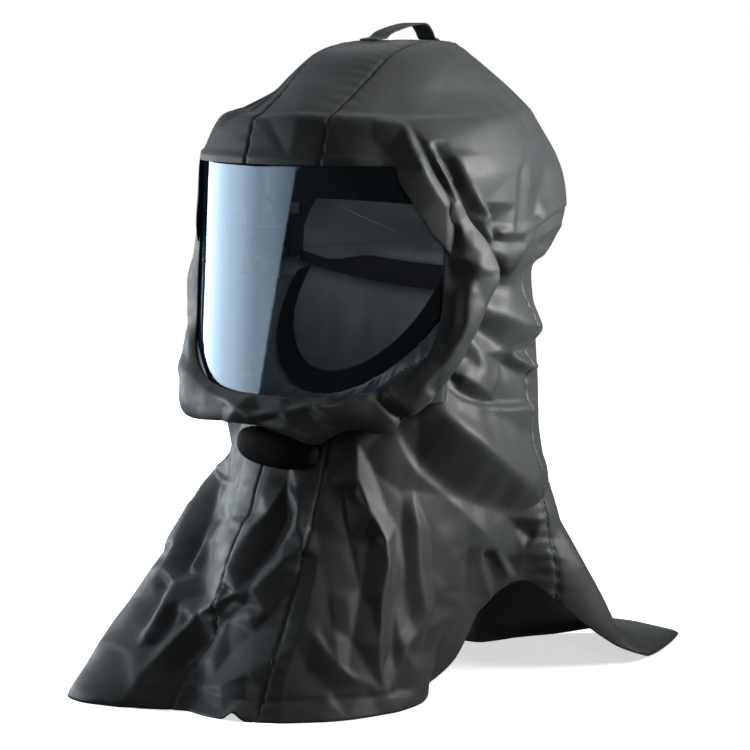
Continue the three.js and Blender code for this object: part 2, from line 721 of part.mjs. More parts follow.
addPanel("back_panel", cape, [[0, gap], [FAR, sideSeam], [FAR, FAR], [-FAR, FAR], [-FAR, sideSeam]]);

const room = toSolid(shellRoom([...CAPE_ROWS, ...CROWN_ROWS], BEARINGS, TOUCH));
add("face_collar", toGeometry(mainBody(toSolid(collarRoll()).subtract(room))), "cloth");
add("visor", visorSheet(), "clear");
add("handle_strap", handleStrap(), "strap");
add("chin_grip", toGeometry(toSolid(chinGrip()).subtract(room)), "rubber");
add("sweat_band", sweatBand(), "pad");
add("head_frame_left", headFrame(1), "plastic");
add("head_frame_right", headFrame(-1), "plastic");
add("nape_strap", napeStrap(), "strap");
const sealAngles = spread(SEAL.arc, -SEAL.arc, 60);
const elasticAngles = spread(SEAL.arc, -SEAL.arc, 30);
const sealStep = { u: -0.5, v: 0.01 };
add("face_seal", wallOn(sealPlace, sealAngles, spread(0.01, 0.99, 2), SEAL.wall, sealStep), "seal");
add("seal_elastic", wallOn(elasticPlace, elasticAngles, spread(0, 1, 1), 2, sealStep), "strap");

// The footprint is centred on the origin.
const box = new THREE.Box3().setFromObject(hood);
const middle = box.getCenter(new THREE.Vector3());
hood.children.forEach((mesh) => mesh.geometry.translate(-middle.x, -middle.y, -box.min.z));

export default hood;
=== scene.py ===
import math

import bmesh
import bpy
import numpy as np
from mathutils import Matrix, Vector
from mathutils.geometry import delaunay_2d_cdt


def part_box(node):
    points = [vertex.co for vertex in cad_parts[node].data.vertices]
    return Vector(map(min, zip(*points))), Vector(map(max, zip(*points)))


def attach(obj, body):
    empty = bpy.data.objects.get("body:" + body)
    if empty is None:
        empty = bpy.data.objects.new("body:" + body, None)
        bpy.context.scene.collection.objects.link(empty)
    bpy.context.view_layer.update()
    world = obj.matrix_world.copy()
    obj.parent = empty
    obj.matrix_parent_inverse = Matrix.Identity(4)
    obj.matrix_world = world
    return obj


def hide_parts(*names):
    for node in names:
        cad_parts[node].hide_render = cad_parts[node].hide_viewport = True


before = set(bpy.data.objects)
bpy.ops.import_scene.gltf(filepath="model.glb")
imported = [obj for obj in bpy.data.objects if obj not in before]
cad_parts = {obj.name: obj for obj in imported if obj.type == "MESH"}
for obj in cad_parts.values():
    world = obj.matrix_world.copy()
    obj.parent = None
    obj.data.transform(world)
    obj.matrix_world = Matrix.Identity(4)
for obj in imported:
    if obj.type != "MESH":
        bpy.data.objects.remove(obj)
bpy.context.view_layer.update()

MM = 0.001

# Driving dimensions, close to those in the part's source
CLOTH = 1.3
HEM_ARCH = dict(bearing=97, span_front=56, span_rear=32, rise=80, power=2.29, fade_height=150)
HEM_BAND = dict(
    height=15, flare=4, crease=0.8, crease_half=1.4, start=-6, fade_in=12, end=34, fade_out=8,
)
HEM_LEVEL = dict(low=60, span=120)
HEM_NOTCH = dict(bearing=2.2, half=1.6, rise=7)
TAIL = dict(bearing=142, half=9, start=180, slope=0.15, top=60)
CROWN_SEAM = 36
CROWN_ROUND = dict(height=400, reach=130)
BIB_SEAM = dict(front=-90, reach=150, left=34, left_slope=-0.07, right=22, right_slope=0.32)
SIDE_SEAM = 0.25
SEAM_STRIP = 9  # from a seam to the furthest face that it may cut
SIDE_STRIP = dict(x=50, y=70)
VISOR = dict(radius=146, wall=2, centre=-21, mid_height=340, lean=4, half_arc=54.5, top=440, bottom=244)
FACE_CUT = dict(
    top=434, top_left=90, top_right=114, high=376, high_half=117, to=364, half=123, start=290,
    low=272, low_half=98, bottom=234, bottom_half=56, back=-62,
)
COLLAR = dict(start=-106, end=126, middle=345, half_height=100, power=3.2, inset=5)
GRIP = dict(length=76, height=31, depth=26, x=-5, z=206, tilt=6, bow=0.004)
GRIP_ROUNDING = np.array([0.75, 0.8, 0.8])
HANDLE = dict(width=17, wall=1.6)
SWEAT_BAND = dict(half=95, front=82, centre=-22, low=404, height=38, wall=5, drop=12, arc=91)
NAPE = dict(half=95, reach=97, centre=4, z=343, dip=30, height=22, thin=9, wall=2)
SEAL = dict(half=84, front=97, centre=-15, z=335, drop=90, arc=90, sag=6, wall=1)
ELASTIC = dict(width=22, wall=2, clear=0.7, aim=20, back_from=-75, back_to=-25)
BROW = dict(low=350, high=480, bearing=48, fade=1.6, soft=5, start=8, end=15, side=74)
BOSS = dict(y=0, z=357, soft=14, rise=6)
TOUCH = 0.4
BROW_CLEAR = 0.8
CLOTH_CLEAR = 0.3
CLEAR_FADE = 1.5  # how fast the cloth may come in past the visor's edges
CROWN_ROW = 7.5
CUT_FRONT = -60  # the face opening is cut in front of this
CUT_SIDE = 60

# The photograph's camera: its place from the axis, its turn in degrees and its lens in pixels
VIEW = dict(azimuth=32, distance=2400, height=540, pitch=6.93, yaw=0.303, focal_px=2832)
IMAGE_WIDTH_PX = 750
SENSOR = 36.0

# The head's axis in the frame, found from the visor
visor_low, visor_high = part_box("visor")
LEAN = math.tan(math.radians(VISOR["lean"]))
VISOR_OUTSIDE = VISOR["radius"] + VISOR["wall"]
VISOR_FRONT = VISOR["centre"] + (VISOR["bottom"] - VISOR["mid_height"]) * LEAN - VISOR_OUTSIDE
AXIS = np.array([(visor_low.x + visor_high.x) / 2, visor_low.y - VISOR_FRONT * MM, 0.0])


def to_frame(points):
    """Places from the axis, in mm, as places in the frame, in metres."""
    return np.asarray(points) * MM + AXIS


# Tables of rows, and curves through them
def row_at(rows, position):
    """A Catmull-Rom curve through the rows of a table, for each of its columns."""
    position = np.asarray(position, float)
    last = len(rows) - 1
    i = np.clip(np.floor(position).astype(int), 0, last - 1)
    t = (position - i)[..., None]
    before, a, b, after = (rows[np.clip(i + k, 0, last)] for k in (-1, 0, 1, 2))
    leave = (b - before) / 2
    arrive = (after - a) / 2
    ends = (2 * t**3 - 3 * t**2 + 1) * a + (3 * t**2 - 2 * t**3) * b
    return ends + (t**3 - 2 * t**2 + t) * leave + (t**3 - t**2) * arrive


def smooth_step(low, high, value):
    t = np.clip((value - low) / (high - low), 0, 1)
    return t * t * (3 - 2 * t)


# Cloth shell: height, centre, then reaches to the front, front side, side, rear side and rear
SECTIONS = np.array([
    [0, 0, 246, 150, 112, 150, 108],
    [45, 0, 224, 150, 116, 146, 110],
    [95, 0, 200, 147, 121, 138, 114],
    [150, 0, 175, 140, 124, 132, 119],
    [205, 0, 156, 134, 124, 128, 123],
    [255, 0, 143, 128, 122, 125, 125],
    [305, 4, 138, 127, 119, 121, 121],
    [340, 10, 150, 134, 117, 116, 116],
    [353, 20, 180, 162, 124, 126, 126],
    [374, 20, 188, 174, 129, 140, 146],
    [402, 20, 187, 174, 132, 144, 153],
    [434, 20, 185, 172, 129, 136, 146],
    [468, 20, 177, 156, 115, 116, 126],
    [477, 20, 166, 133, 106, 108, 118],
    [489, 20, 145, 112, 93, 95, 104],
    [502, 20, 122, 98, 80, 80, 87],
    [519, 20, 94, 78, 62, 59, 64],
    [527, 20, 68, 61, 51, 48, 50],
    [531, 20, 42, 42, 38, 38, 38],
    [532, 20, 8, 8, 8, 8, 8],
    [532, 20, 0, 0, 0, 0, 0],
], float)
TOP_ROW = len(SECTIONS) - 1
FAR = 1e3  # too far from a seam to feel it

# Large and unseen folds: from and to as bearing and height, width, rise at both ends, and crispness
FOLDS = np.array([
    # the cape's corners
    [-23, 0, -75, 215, 66, 89, 0, 0],
    [121, 0, 107, 150, 44, 56, 0, 0.4],
    [-124, 0, -112, 150, 60, 50, 0, 0],
    [135, 0, 165, 15, 51, 118, 0, 1],
    # beside the bib's corner
    [53, 0, 51, 60, 54, -16, 0, 0.8],
    # the crown, wearer's right and rear
    [-26, 474, -36, 508, 20, -6, -4, 0.5],
    [-70, 440, -80, 380, 26, 6, 6, 0.5],
    [-60, 410, -66, 372, 24, 4, 9, 0.5],
    [-84, 376, -122, 400, 26, 8, 5, 0.8],
    [150, 374, 176, 402, 30, 6, 3, 0.5],
    [-150, 372, -168, 404, 30, 6, 3, 0.5],
    # the neck and shoulder, wearer's right
    [-62, 310, -92, 280, 28, 9, 9, 0.6],
    [-56, 250, -106, 236, 26, -8, -6, 0.6],
    [-50, 238, -104, 150, 36, 12, 11, 0.6],
    [-38, 222, -66, 160, 30, -11, -6, 0.2],
    # the back
    [150, 310, 146, 20, 38, 8, 12, 0.3],
    [-152, 310, -148, 20, 38, 8, 12, 0.3],
    [172, 290, 168, 10, 30, -6, -9, 0.3],
    [-166, 280, -170, 10, 30, 5, 8, 0.3],
], float)
FOLD_STEPS = 8
CREST = 2.5  # radius that the crispest ridge is rounded to

# Creases of the shell traced in the photograph, as its pixels x and y and the rise of the cloth there in mm.
# Between the creases the cloth is flat, as in a folded sheet.
SHELL_CREASES = dict(
    # the crown
    top_valley=[(372, 118, -1), (400, 116, -2.5), (440, 111, -3), (475, 103, -2.5), (502, 97, -1)],
    top_ridge=[(322, 58, 1), (308, 85, 2.5), (298, 112, 1)],
    left_fold=[(282, 92, -2), (264, 112, -3), (256, 122, -1)],
    brow_pocket=[(372, 139, -3), (386, 151, -5), (399, 164, -3)],
    temple_ridge_1=[(404, 126, 2), (412, 148, 5), (424, 172, 6), (438, 196, 5), (447, 208, 3)],
    temple_valley_1=[(410, 126, 0), (421, 146, -1), (433, 168, -2), (446, 192, -1)],
    temple_ridge_2=[(428, 145, 3), (436, 160, 4), (447, 180, 5), (458, 201, 3)],
    temple_valley_2=[(433, 146, -1), (446, 166, -5), (458, 188, -7), (470, 212, -8), (480, 238, -5)],
    temple_ridge_3=[(446, 141, 2), (455, 158, 3), (466, 178, 4), (480, 204, 5), (489, 216, 4)],
    tuck_pocket=[(484, 203, 1), (492, 213, -6), (499, 224, -8), (497, 235, -6)],
    tuck_lobe=[(484, 224, 3), (491, 237, 6), (489, 250, 3)],
    side_pleat_1=[(517, 170, 1), (514, 205, 2), (512, 226, 2)],
    side_valley_1=[(521, 172, -1), (519, 205, -1), (517, 226, -1)],
    side_pleat_2=[(529, 148, 1), (528, 190, 2), (526, 222, 2)],
    side_hollow=[(549, 160, -3), (543, 195, -5), (537, 216, -4)],
    crown_edge=[(502, 234, 3), (513, 234, 3), (521, 231, 4), (540, 218, 6), (566, 203, 4)],
    under_edge=[(500, 242, -4), (518, 240, -4)],
    rear_pocket=[(530, 236, -3), (546, 225, -5), (560, 213, -4)],
    rear_ridge_2=[(524, 242, 2), (540, 234, 3), (557, 223, 3)],
    rear_valley_2=[(528, 250, -3), (552, 241, -3)],
    rear_ridge_3=[(530, 262, 2), (549, 250, 3)],
    # the neck
    notch_upper=[(512, 345, 5), (525, 337, 6), (539, 325, 5)],
    notch_inside=[(521, 350, -2), (533, 346, -3)],
    notch_lower=[(512, 345, 5), (513, 353, 5), (519, 360, 6), (530, 367, 6), (539, 366, 4)],
    notch_shadow=[(508, 363, -5), (521, 372, -5), (535, 375, -2)],
    neck_facet=[(446, 369, -4), (453, 380, -6), (460, 391, -4)],
    neck_facet_ridge=[(460, 376, 2), (472, 384, 4), (487, 395, 3)],
    neck_crease=[
        (440, 384, -3), (455, 393, -5), (470, 399, -5), (500, 402, -5), (520, 402, -5), (534, 398, -3),
    ],
    neck_ridge=[(455, 401, 3), (480, 408, 3), (510, 409, 3), (533, 406, 2)],
    # the shoulder
    shoulder_edge=[
        (391, 425, 4), (398, 441, 7), (408, 459, 8), (418, 473, 8), (445, 495, 7), (464, 513, 7),
        (480, 531, 7),
    ],
    star_right=[(480, 531, 7), (492, 550, 6), (507, 575, 4)],
    star_left=[(480, 531, 7), (476, 548, 5), (480, 575, 4), (490, 600, 3)],
    star_pocket=[(485, 554, -1), (494, 580, -1)],
    star_far_left=[(468, 545, 2), (456, 560, 2), (452, 584, 1)],
    star_far_hollow=[(466, 562, -2), (466, 590, -2)],
    side_dent=[(508, 517, 1), (520, 528, -4), (532, 537, -3)],
    side_edge=[(538, 504, 3), (537, 520, 3), (535, 538, 2), (522, 552, 2)],
    front_crease=[
        (415, 490, 2), (416, 527, 5), (418, 570, 4), (424, 613, 5), (415, 634, 3), (403, 648, 4),
        (414, 668, 2), (426, 692, 1),
    ],
    front_left=[(404, 500, -1), (403, 540, -2), (406, 584, -3), (411, 618, -2)],
    front_right=[(430, 530, -1), (432, 570, -3), (436, 606, -2), (424, 650, -3)],
    # the bib
    bib_edge=[
        (357, 444, 3), (357, 482, 6), (368, 513, 8), (383, 545, 9), (385, 563, 9), (379, 600, 7),
        (377, 645, 6), (384, 694, 3),
    ],
    bib_edge_left=[(343, 490, -2), (350, 540, -3), (362, 590, -3), (352, 640, -2)],
    bib_edge_right=[(395, 545, 0), (396, 600, -3), (393, 650, -3)],
    bib_left_edge=[
        (206, 452, 4), (211, 460, 6), (205, 478, 5), (196, 505, 6), (181, 542, 7), (168, 566, 7),
        (157, 578, 4),
    ],
    bib_left_hollow=[(218, 480, -4), (208, 520, -5), (196, 556, -6), (186, 574, -4)],
    bib_left_ridge=[
        (206, 538, 2), (192, 566, 4), (180, 582, 7), (166, 606, 8), (152, 632, 8), (143, 645, 4),
    ],
    bib_left_spur=[(180, 582, 7), (182, 602, 3), (178, 628, 2)],
    bib_left_gully=[(164, 586, -4), (158, 602, -5), (150, 616, -5), (140, 632, -2)],
    bib_left_gully_2=[(176, 612, -4), (166, 632, -5), (156, 646, -3)],
    bib_far_ridge=[(103, 641, 2), (122, 643, 4), (138, 650, 5), (148, 660, 5)],
    bib_far_hollow=[(116, 632, -2), (132, 634, -4)],
    bib_diagonal=[
        (240, 592, 6), (222, 603, 8), (200, 616, 9), (182, 632, 9), (165, 649, 9), (152, 663, 8),
        (140, 676, 6), (134, 688, 2),
    ],
    bib_diagonal_hollow=[(244, 606, -3), (222, 622, -6), (200, 644, -7), (180, 668, -6), (160, 690, -2)],
    bib_middle_1=[(272, 512, 6), (258, 526, 7), (245, 546, 7), (235, 566, 7), (226, 582, 6), (240, 592, 6)],
    bib_hollow_1=[(286, 480, -4), (286, 520, -6), (268, 552, -6), (252, 574, -4)],
    bib_middle_2=[(304, 548, 5), (282, 562, 5), (264, 578, 4), (252, 590, 3)],
    bib_hollow_2=[(300, 580, -3), (276, 606, -4), (250, 634, -6), (226, 654, -5)],
    seam_facet=[(300, 506, 5), (298, 526, 6), (304, 540, 5)],
    seam_facet_right=[
        (318, 556, 0), (311, 590, 2), (303, 620, 3), (298, 641, 3), (288, 668, 3), (282, 690, 2),
    ],
    bib_low=[(302, 636, 3), (313, 633, 3), (336, 662, 3), (362, 682, 2)],
    bib_low_hollow=[(306, 668, -2), (330, 690, -2)],
    bib_low_left=[(280, 656, 3), (250, 672, 4), (220, 684, 3)],
    bib_right_hollow=[(328, 590, -1), (334, 630, -1)],
)
# Soft folds of the neck and shoulder, traced alike
SOFT_CREASES = dict(
    collar_shadow=[(498, 250, -5), (497, 270, -6), (494, 290, -4)],
    neck_pleat=[(506, 250, 2), (505, 270, 4), (507, 290, 3)],
    neck_valley=[(512, 260, -2), (517, 280, -4), (521, 294, -2)],
    bag=[(478, 303, 4), (491, 312, 7), (505, 318, 8), (520, 324, 8), (534, 328, 5)],
    bag_hollow=[(474, 326, -5), (490, 337, -7), (506, 352, -6)],
    finger=[
        (467, 335, 3), (473, 347, 5), (479, 359, 6), (484, 371, 5), (474, 376, 4), (462, 369, 4),
        (450, 357, 2),
    ],
    finger_hollow=[(464, 350, 0), (471, 363, 0)],
    pillow_end=[(440, 394, 6), (437, 404, 11), (439, 414, 14)],
    pillow_top=[
        (439, 414, 14), (460, 434, 17), (480, 451, 17), (500, 468, 15), (520, 485, 11), (538, 503, 4),
    ],
    pillow_behind=[(452, 408, 6), (470, 417, 5), (492, 430, 3), (515, 448, 2), (540, 466, 3)],
    pillow_shadow=[
        (396, 430, -5), (412, 452, -9), (428, 472, -10), (448, 488, -9), (471, 500, -7), (510, 509, -3),
    ],
    pillow_rear=[(490, 414, -3), (508, 422, -5), (526, 434, -5), (536, 446, -2)],
)
SEEN_CRUMPLE = 0.25  # share of the faint crumples left where folds are traced
FLAT_SPACING = 32  # px between the flat places that bound the traced creases
FLAT_CLEAR = 24  # px that these keep from a crease
CREASE_BLUR = 1.2  # px over which the traced creases are rounded
SOFT_BLUR = 4.0
# Small facets of the crumpled cape and collar, in rings round a place: px of the photograph, and a rise in mm
CAPE_FACETS = dict(
    centre=(300, 260), start=165, end=520, along=32, across=17, jitter=0.42, rise=1.3,
    top=432, clear=9, soft_clear=30,
)
COLLAR_FACETS = dict(
    centre=(325, 300), start=84, end=240, along=17, across=24, jitter=0.42, rise=1.2,
    top=0, clear=8, soft_clear=0,
)
FACET_SEED = 5
FACING = dict(low=0.02, high=0.2)  # how far cloth turns to the camera, as it comes into view


def reach_of(sections, bearing):
    """The reach of sections at bearings: the cosine series through their five named reaches."""
    reaches = sections[..., 2:]
    last = reaches.shape[-1] - 1
    order = np.arange(last + 1)
    ends = np.where((order == 0) | (order == last), 0.5, 1.0)
    shares = (reaches * ends) @ np.cos(np.outer(order, order) * np.pi / last)
    waves = np.cos(order * np.radians(bearing)[..., None])
    return (2 / last) * np.sum(shares * ends * waves, axis=-1)


def visor_centre(height):
    return VISOR["centre"] + (height - VISOR["mid_height"]) * LEAN


def visor_reach(centre, height, bearing):
    """The reach, from a section's axis, of a circle just clear of the visor's outside."""
    radius = VISOR_OUTSIDE + TOUCH + CLOTH + BROW_CLEAR
    offset = centre - visor_centre(height)
    turn = np.radians(bearing)
    return offset * np.cos(turn) + np.sqrt(radius**2 - (offset * np.sin(turn)) ** 2)


def hem_rise(bearing):
    off = np.abs(bearing) - HEM_ARCH["bearing"]
    share = np.where(off < 0, -off / HEM_ARCH["span_front"], off / HEM_ARCH["span_rear"])
    arch = np.cos(np.clip(share, 0, 1) * np.pi / 2) ** HEM_ARCH["power"]
    return np.where(share < 1, HEM_ARCH["rise"] * arch, 0)


def shell_base(bearing, row):
    turned = (np.asarray(bearing, float) + 540) % 360 - 180
    section = row_at(SECTIONS, row)
    height, centre = section[..., 0], section[..., 1]
    reach = reach_of(section, turned)
    at_brow = (height > BROW["low"]) & (height < BROW["high"]) & (np.abs(turned) < 90)
    past = np.maximum(0, np.abs(turned) - BROW["bearing"])
    on_visor = visor_reach(centre, np.clip(height, 200, 500), np.clip(turned, -90, 90)) - BROW["fade"] * past
    on_visor -= np.maximum(0, height - VISOR["top"]) * BROW["fade"]
    more = on_visor - reach
    within = smooth_step(BROW["low"], BROW["low"] + BROW["start"], height)
    within *= 1 - smooth_step(BROW["high"] - BROW["end"], BROW["high"], height)
    within *= 1 - smooth_step(BROW["side"], 90, np.abs(turned))
    reach = np.where(at_brow, reach + within * (more + np.sqrt(more**2 + BROW["soft"] ** 2)) / 2, reach)
    lift = hem_rise(turned) * np.clip(1 - height / HEM_ARCH["fade_height"], 0, 1)
    turn = np.radians(turned)
    return np.stack([reach * np.sin(turn), centre - reach * np.cos(turn), height + lift], axis=-1)


def row_at_height(height):
    rows = np.arange(0, TOP_ROW, 0.02)
    return np.interp(height, row_at(SECTIONS, rows)[:, 0], rows)


def fold_path(fold):
    share = np.linspace(0, 1, FOLD_STEPS + 1)
    bearing = fold[0] + (fold[2] - fold[0]) * share
    height = fold[1] + (fold[3] - fold[1]) * share
    return shell_base(bearing, row_at_height(height))


def distance_along(path, places):
    """How far places are from a path, and how far along it they are as a share."""
    nearest = np.full(len(places), np.inf)
    along = np.zeros(len(places))
    for i in range(len(path) - 1):
        run = path[i + 1] - path[i]
        off = places - path[i]
        t = np.clip(off @ run / (run @ run), 0, 1)
        gap = np.linalg.norm(off - t[:, None] * run, axis=1)
        closer = gap < nearest
        nearest = np.where(closer, gap, nearest)
        along = np.where(closer, (i + t) / (len(path) - 1), along)
    return nearest, along


def fold_rise(places):
    """How far the folds lift the shell: soft ones are pillows, crisp ones have a ridge or a crease."""
    rise = np.zeros(len(places))
    for fold in FOLDS:
        width, rise_from, rise_to, crisp = fold[4:]
        gap, along = distance_along(fold_path(fold), places)
        rounded = np.sqrt(gap**2 + CREST**2) - CREST
        s = np.clip(rounded / (math.hypot(width, CREST) - CREST), 0, 1)
        bell = (1 - crisp) * (1 - s * s) ** 2 + crisp * (1 - s) ** 2
        rise += bell * (rise_from + (rise_to - rise_from) * along)
    return rise


def photo_axes():
    """The photograph's camera: its place from the axis, and its right, up and forward directions."""
    azimuth, turn = math.radians(VIEW["azimuth"]), math.radians(VIEW["azimuth"] + VIEW["yaw"])
    pitch = math.radians(VIEW["pitch"])
    away = VIEW["distance"]
    place = np.array([away * math.sin(azimuth), -away * math.cos(azimuth), VIEW["height"]])
    right = np.array([math.cos(turn), math.sin(turn), 0])
    level = math.cos(pitch)
    forward = np.array([-math.sin(turn) * level, math.cos(turn) * level, -math.sin(pitch)])
    return place, right, np.cross(right, forward), forward


def seen_at(places):
    """Where the photograph shows places from the axis, in its pixels."""
    place, right, up, forward = photo_axes()
    away = places - place
    depth = away @ forward
    spread = VIEW["focal_px"] / depth
    middle = IMAGE_WIDTH_PX / 2
    return np.stack([middle + away @ right * spread, middle - away @ up * spread], axis=1)


def facet_points(facets):
    """Places of small facets: scattered, but alike in each run, and clear of the soft folds."""
    scatter = np.random.default_rng(FACET_SEED)
    rings = []
    for radius in np.arange(facets["start"], facets["end"], facets["along"]):
        count = round(2 * math.pi * radius / facets["across"])
        turn_off, reach_off, rise = scatter.uniform(-1, 1, (3, count))
        turn = (np.arange(count) + facets["jitter"] * turn_off) * 2 * math.pi / count
        reach = radius + facets["along"] * facets["jitter"] * reach_off
        x = facets["centre"][0] + reach * np.sin(turn)
        y = facets["centre"][1] + reach * np.cos(turn)
        rings.append(np.stack([x, y, facets["rise"] * rise], axis=1))
    points = np.concatenate(rings)
    inside = (points[:, :2] > 0).all(axis=1) & (points[:, :2] < IMAGE_WIDTH_PX).all(axis=1)
    soft = np.array([place[:2] for line in SOFT_CREASES.values() for place in line], float)
    away = np.linalg.norm(points[:, None, :2] - soft[None], axis=2).min(axis=1) > facets["soft_clear"]
    return points[inside & away & (points[:, 1] > facets["top"])]


def flat_places(traced, facets):
    """Places away from the traced creases: level ones, and small facets where the cloth is crumpled."""
    steps = np.arange(0, IMAGE_WIDTH_PX + FLAT_SPACING, FLAT_SPACING)
    flat = np.array([(x, y, 0) for y in steps for x in steps], float)
    clear = np.full(len(flat), FLAT_CLEAR)
    if facets:
        level = flat[flat[:, 1] < facets["top"]]
        scattered = facet_points(facets)
        clear = np.repeat([FLAT_CLEAR, facets["clear"]], [len(level), len(scattered)])
        flat = np.concatenate([level, scattered])
    gaps = np.linalg.norm(flat[:, None, :2] - traced[None, :, :2], axis=2).min(axis=1)
    return flat[gaps > clear]


def filled_facets(corners, faces, rises):
    """The rise at each pixel of the photograph, level across each facet between its corners' rises."""
    relief = np.zeros((IMAGE_WIDTH_PX, IMAGE_WIDTH_PX))
    for face in faces:
        a, b, c = (corners[i] for i in face)
        low = np.clip(np.floor(np.minimum(np.minimum(a, b), c)), 0, IMAGE_WIDTH_PX - 1).astype(int)
        high = np.clip(np.ceil(np.maximum(np.maximum(a, b), c)), 0, IMAGE_WIDTH_PX - 1).astype(int)
        x, y = np.meshgrid(np.arange(low[0], high[0] + 1), np.arange(low[1], high[1] + 1))
        size = (b[0] - a[0]) * (c[1] - a[1]) - (b[1] - a[1]) * (c[0] - a[0])
        to_b = ((x - a[0]) * (c[1] - a[1]) - (y - a[1]) * (c[0] - a[0])) / size
        to_c = ((b[0] - a[0]) * (y - a[1]) - (b[1] - a[1]) * (x - a[0])) / size
        within = (to_b >= -1e-6) & (to_c >= -1e-6) & (to_b + to_c <= 1 + 1e-6)
        rise = rises[face[0]] * (1 - to_b - to_c) + rises[face[1]] * to_b + rises[face[2]] * to_c
        relief[y[within], x[within]] = rise[within]
    return relief


def blurred(relief, blur):
    reach = math.ceil(blur * 3)
    weights = np.exp(-(np.arange(-reach, reach + 1) ** 2) / (2 * blur**2))
    weights /= weights.sum()
    for axis in (0, 1):
        relief = sum(w * np.roll(relief, k - reach, axis) for k, w in enumerate(weights))
    return relief


def relief_map(creases, facets, blur):
    """The rise at each pixel of the photograph: flat facets between creases, rounded where they meet."""
    traced = np.array([point for line in creases.values() for point in line], float)
    edges = []
    for line in creases.values():
        first = edges[-1][1] + 1 if edges else 0
        edges += [(first + i, first + i + 1) for i in range(len(line) - 1)]
    points = np.concatenate([traced, flat_places(traced, facets)])
    places = [Vector(xy) for xy in points[:, :2]]
    corners, _, faces, sources, _, _ = delaunay_2d_cdt(places, edges, [], 0, 0.01)
    corners = np.array(corners)
    rises = np.array([points[source[0], 2] if source else np.nan for source in sources])
    for i in np.flatnonzero(np.isnan(rises)):
        rises[i] = points[np.argmin(np.linalg.norm(points[:, :2] - corners[i], axis=1)), 2]
    return blurred(filled_facets(corners, faces, rises), blur)


def facing_camera(places, normals):
    """1 where cloth faces the photograph's camera, 0 where it is turned away."""
    towards = photo_axes()[0] - places
    towards /= np.linalg.norm(towards, axis=1, keepdims=True)
    return smooth_step(FACING["low"], FACING["high"], np.sum(towards * normals, axis=1))


def seen_rise(relief, places):
    """How far the creases traced in the photograph lift the cloth at places."""
    pixels = np.clip(seen_at(places), 0, IMAGE_WIDTH_PX - 1.01)
    x, y = np.floor(pixels).astype(int).T
    right, down = (pixels - np.floor(pixels)).T
    upper = relief[y, x] * (1 - right) + relief[y, x + 1] * right
    lower = relief[y + 1, x] * (1 - right) + relief[y + 1, x + 1] * right
    return upper * (1 - down) + lower * down


def normal_of(surface, u, v, step_u, step_v):
    across = surface(u + step_u, v) - surface(u - step_u, v)
    along = surface(u, v + step_v) - surface(u, v - step_v)
    normal = np.cross(across, along)
    return normal / np.maximum(np.linalg.norm(normal, axis=-1, keepdims=True), 1e-9)


# Crumples: straight creases, as direction x, y and z, spacing, rise, and lowest and highest height
CRUMPLES = np.array([
    [0.60, 0.10, 0.80, 47, 2.0, -60, 210],
    [0.25, 0.30, 0.95, 34, 1.2, -60, 330],
    [0.80, -0.20, -0.45, 61, 1.6, -60, 330],
    [0.45, 0.40, 0.70, 71, 1.3, 330, 560],
    [-0.70, 0.30, 0.55, 93, 1.2, 340, 560],
], float)
# Reach that crumples are laid out at, how far they fade, and the lengths of the slow waves that vary them
CRUMPLE = dict(
    reach=150, fade=60, bend_up=41, bend_round=57,
    patch_up=61, patch_round=83, mottle_up=97, mottle_round=71,
)
PUCKER = dict(spacing=10.5, rise=0.65, reach=8, groove=1.5, groove_half=1.5)


def triangle_wave(phase):
    return np.arcsin(0.96 * np.sin(phase)) * 2 / np.pi


def crumple_rise(places):
    """Faint straight creases, which come and go across the cloth."""
    rise = np.zeros(len(places))
    for i, (x, y, z, spacing, height, low, high) in enumerate(CRUMPLES):
        way = np.array([x, y, z]) / math.sqrt(x * x + y * y + z * z)
        turn = np.arctan2(places[:, 0], -places[:, 1])
        u, v = turn * CRUMPLE["reach"], places[:, 2]
        phase = (u * way[2] - v * (way[0] * np.cos(turn) + way[1] * np.sin(turn))) / spacing * 2 * np.pi
        phase += 1.1 * np.sin(v / CRUMPLE["bend_up"] + i) + 0.9 * np.sin(u / CRUMPLE["bend_round"] + 2 * i)
        patch = np.sin(u / CRUMPLE["patch_round"] + v / CRUMPLE["patch_up"] + 1.7 * i)
        mottle = np.sin(v / CRUMPLE["mottle_up"] - u / CRUMPLE["mottle_round"] + i)
        share = np.clip(0.5 + 0.9 * patch * mottle, 0, 1)
        fade = CRUMPLE["fade"]
        within = smooth_step(low, low + fade, v) * (1 - smooth_step(high - fade, high, v))
        rise += height * share * within * triangle_wave(phase)
    return rise


def seam_rise(places):
    """The groove of each sewn seam and the small puckers beside it."""
    x, y, z = places.T
    along_crown = np.arctan2(z - CROWN_ROUND["height"], -y) * CROWN_ROUND["reach"]
    on_bib = (y < BIB_SEAM["front"]) & (z < FACE_CUT["bottom"])
    beside = [
        (np.where(z > BROW["low"], np.abs(x) - CROWN_SEAM, FAR), along_crown),
        (np.where(on_bib, x - seam_x(1, y), FAR), z),
        (np.where(on_bib, x - seam_x(-1, y), FAR), z),
        (np.where(z < BROW["low"], y - SIDE_SEAM * np.abs(x), FAR), z),
    ]
    rise = np.zeros(len(places))
    for off, along in beside:
        wave = np.sin(along * 2 * np.pi / PUCKER["spacing"] + 1.6 * np.sin(along / 23) + np.sign(off))
        swell = 0.55 + 0.45 * np.sin(along / 37 + np.sign(off))
        rise += PUCKER["rise"] * swell * wave * np.exp(-np.abs(off) / PUCKER["reach"])
        rise -= PUCKER["groove"] * np.exp(-((off / PUCKER["groove_half"]) ** 2))
    return rise


def seam_x(side, y):
    """Where the bib's seam on one side is, at a depth from the axis."""
    beyond = -y - BIB_SEAM["reach"]
    if side > 0:
        return BIB_SEAM["left"] + BIB_SEAM["left_slope"] * beyond
    return -BIB_SEAM["right"] - BIB_SEAM["right_slope"] * beyond


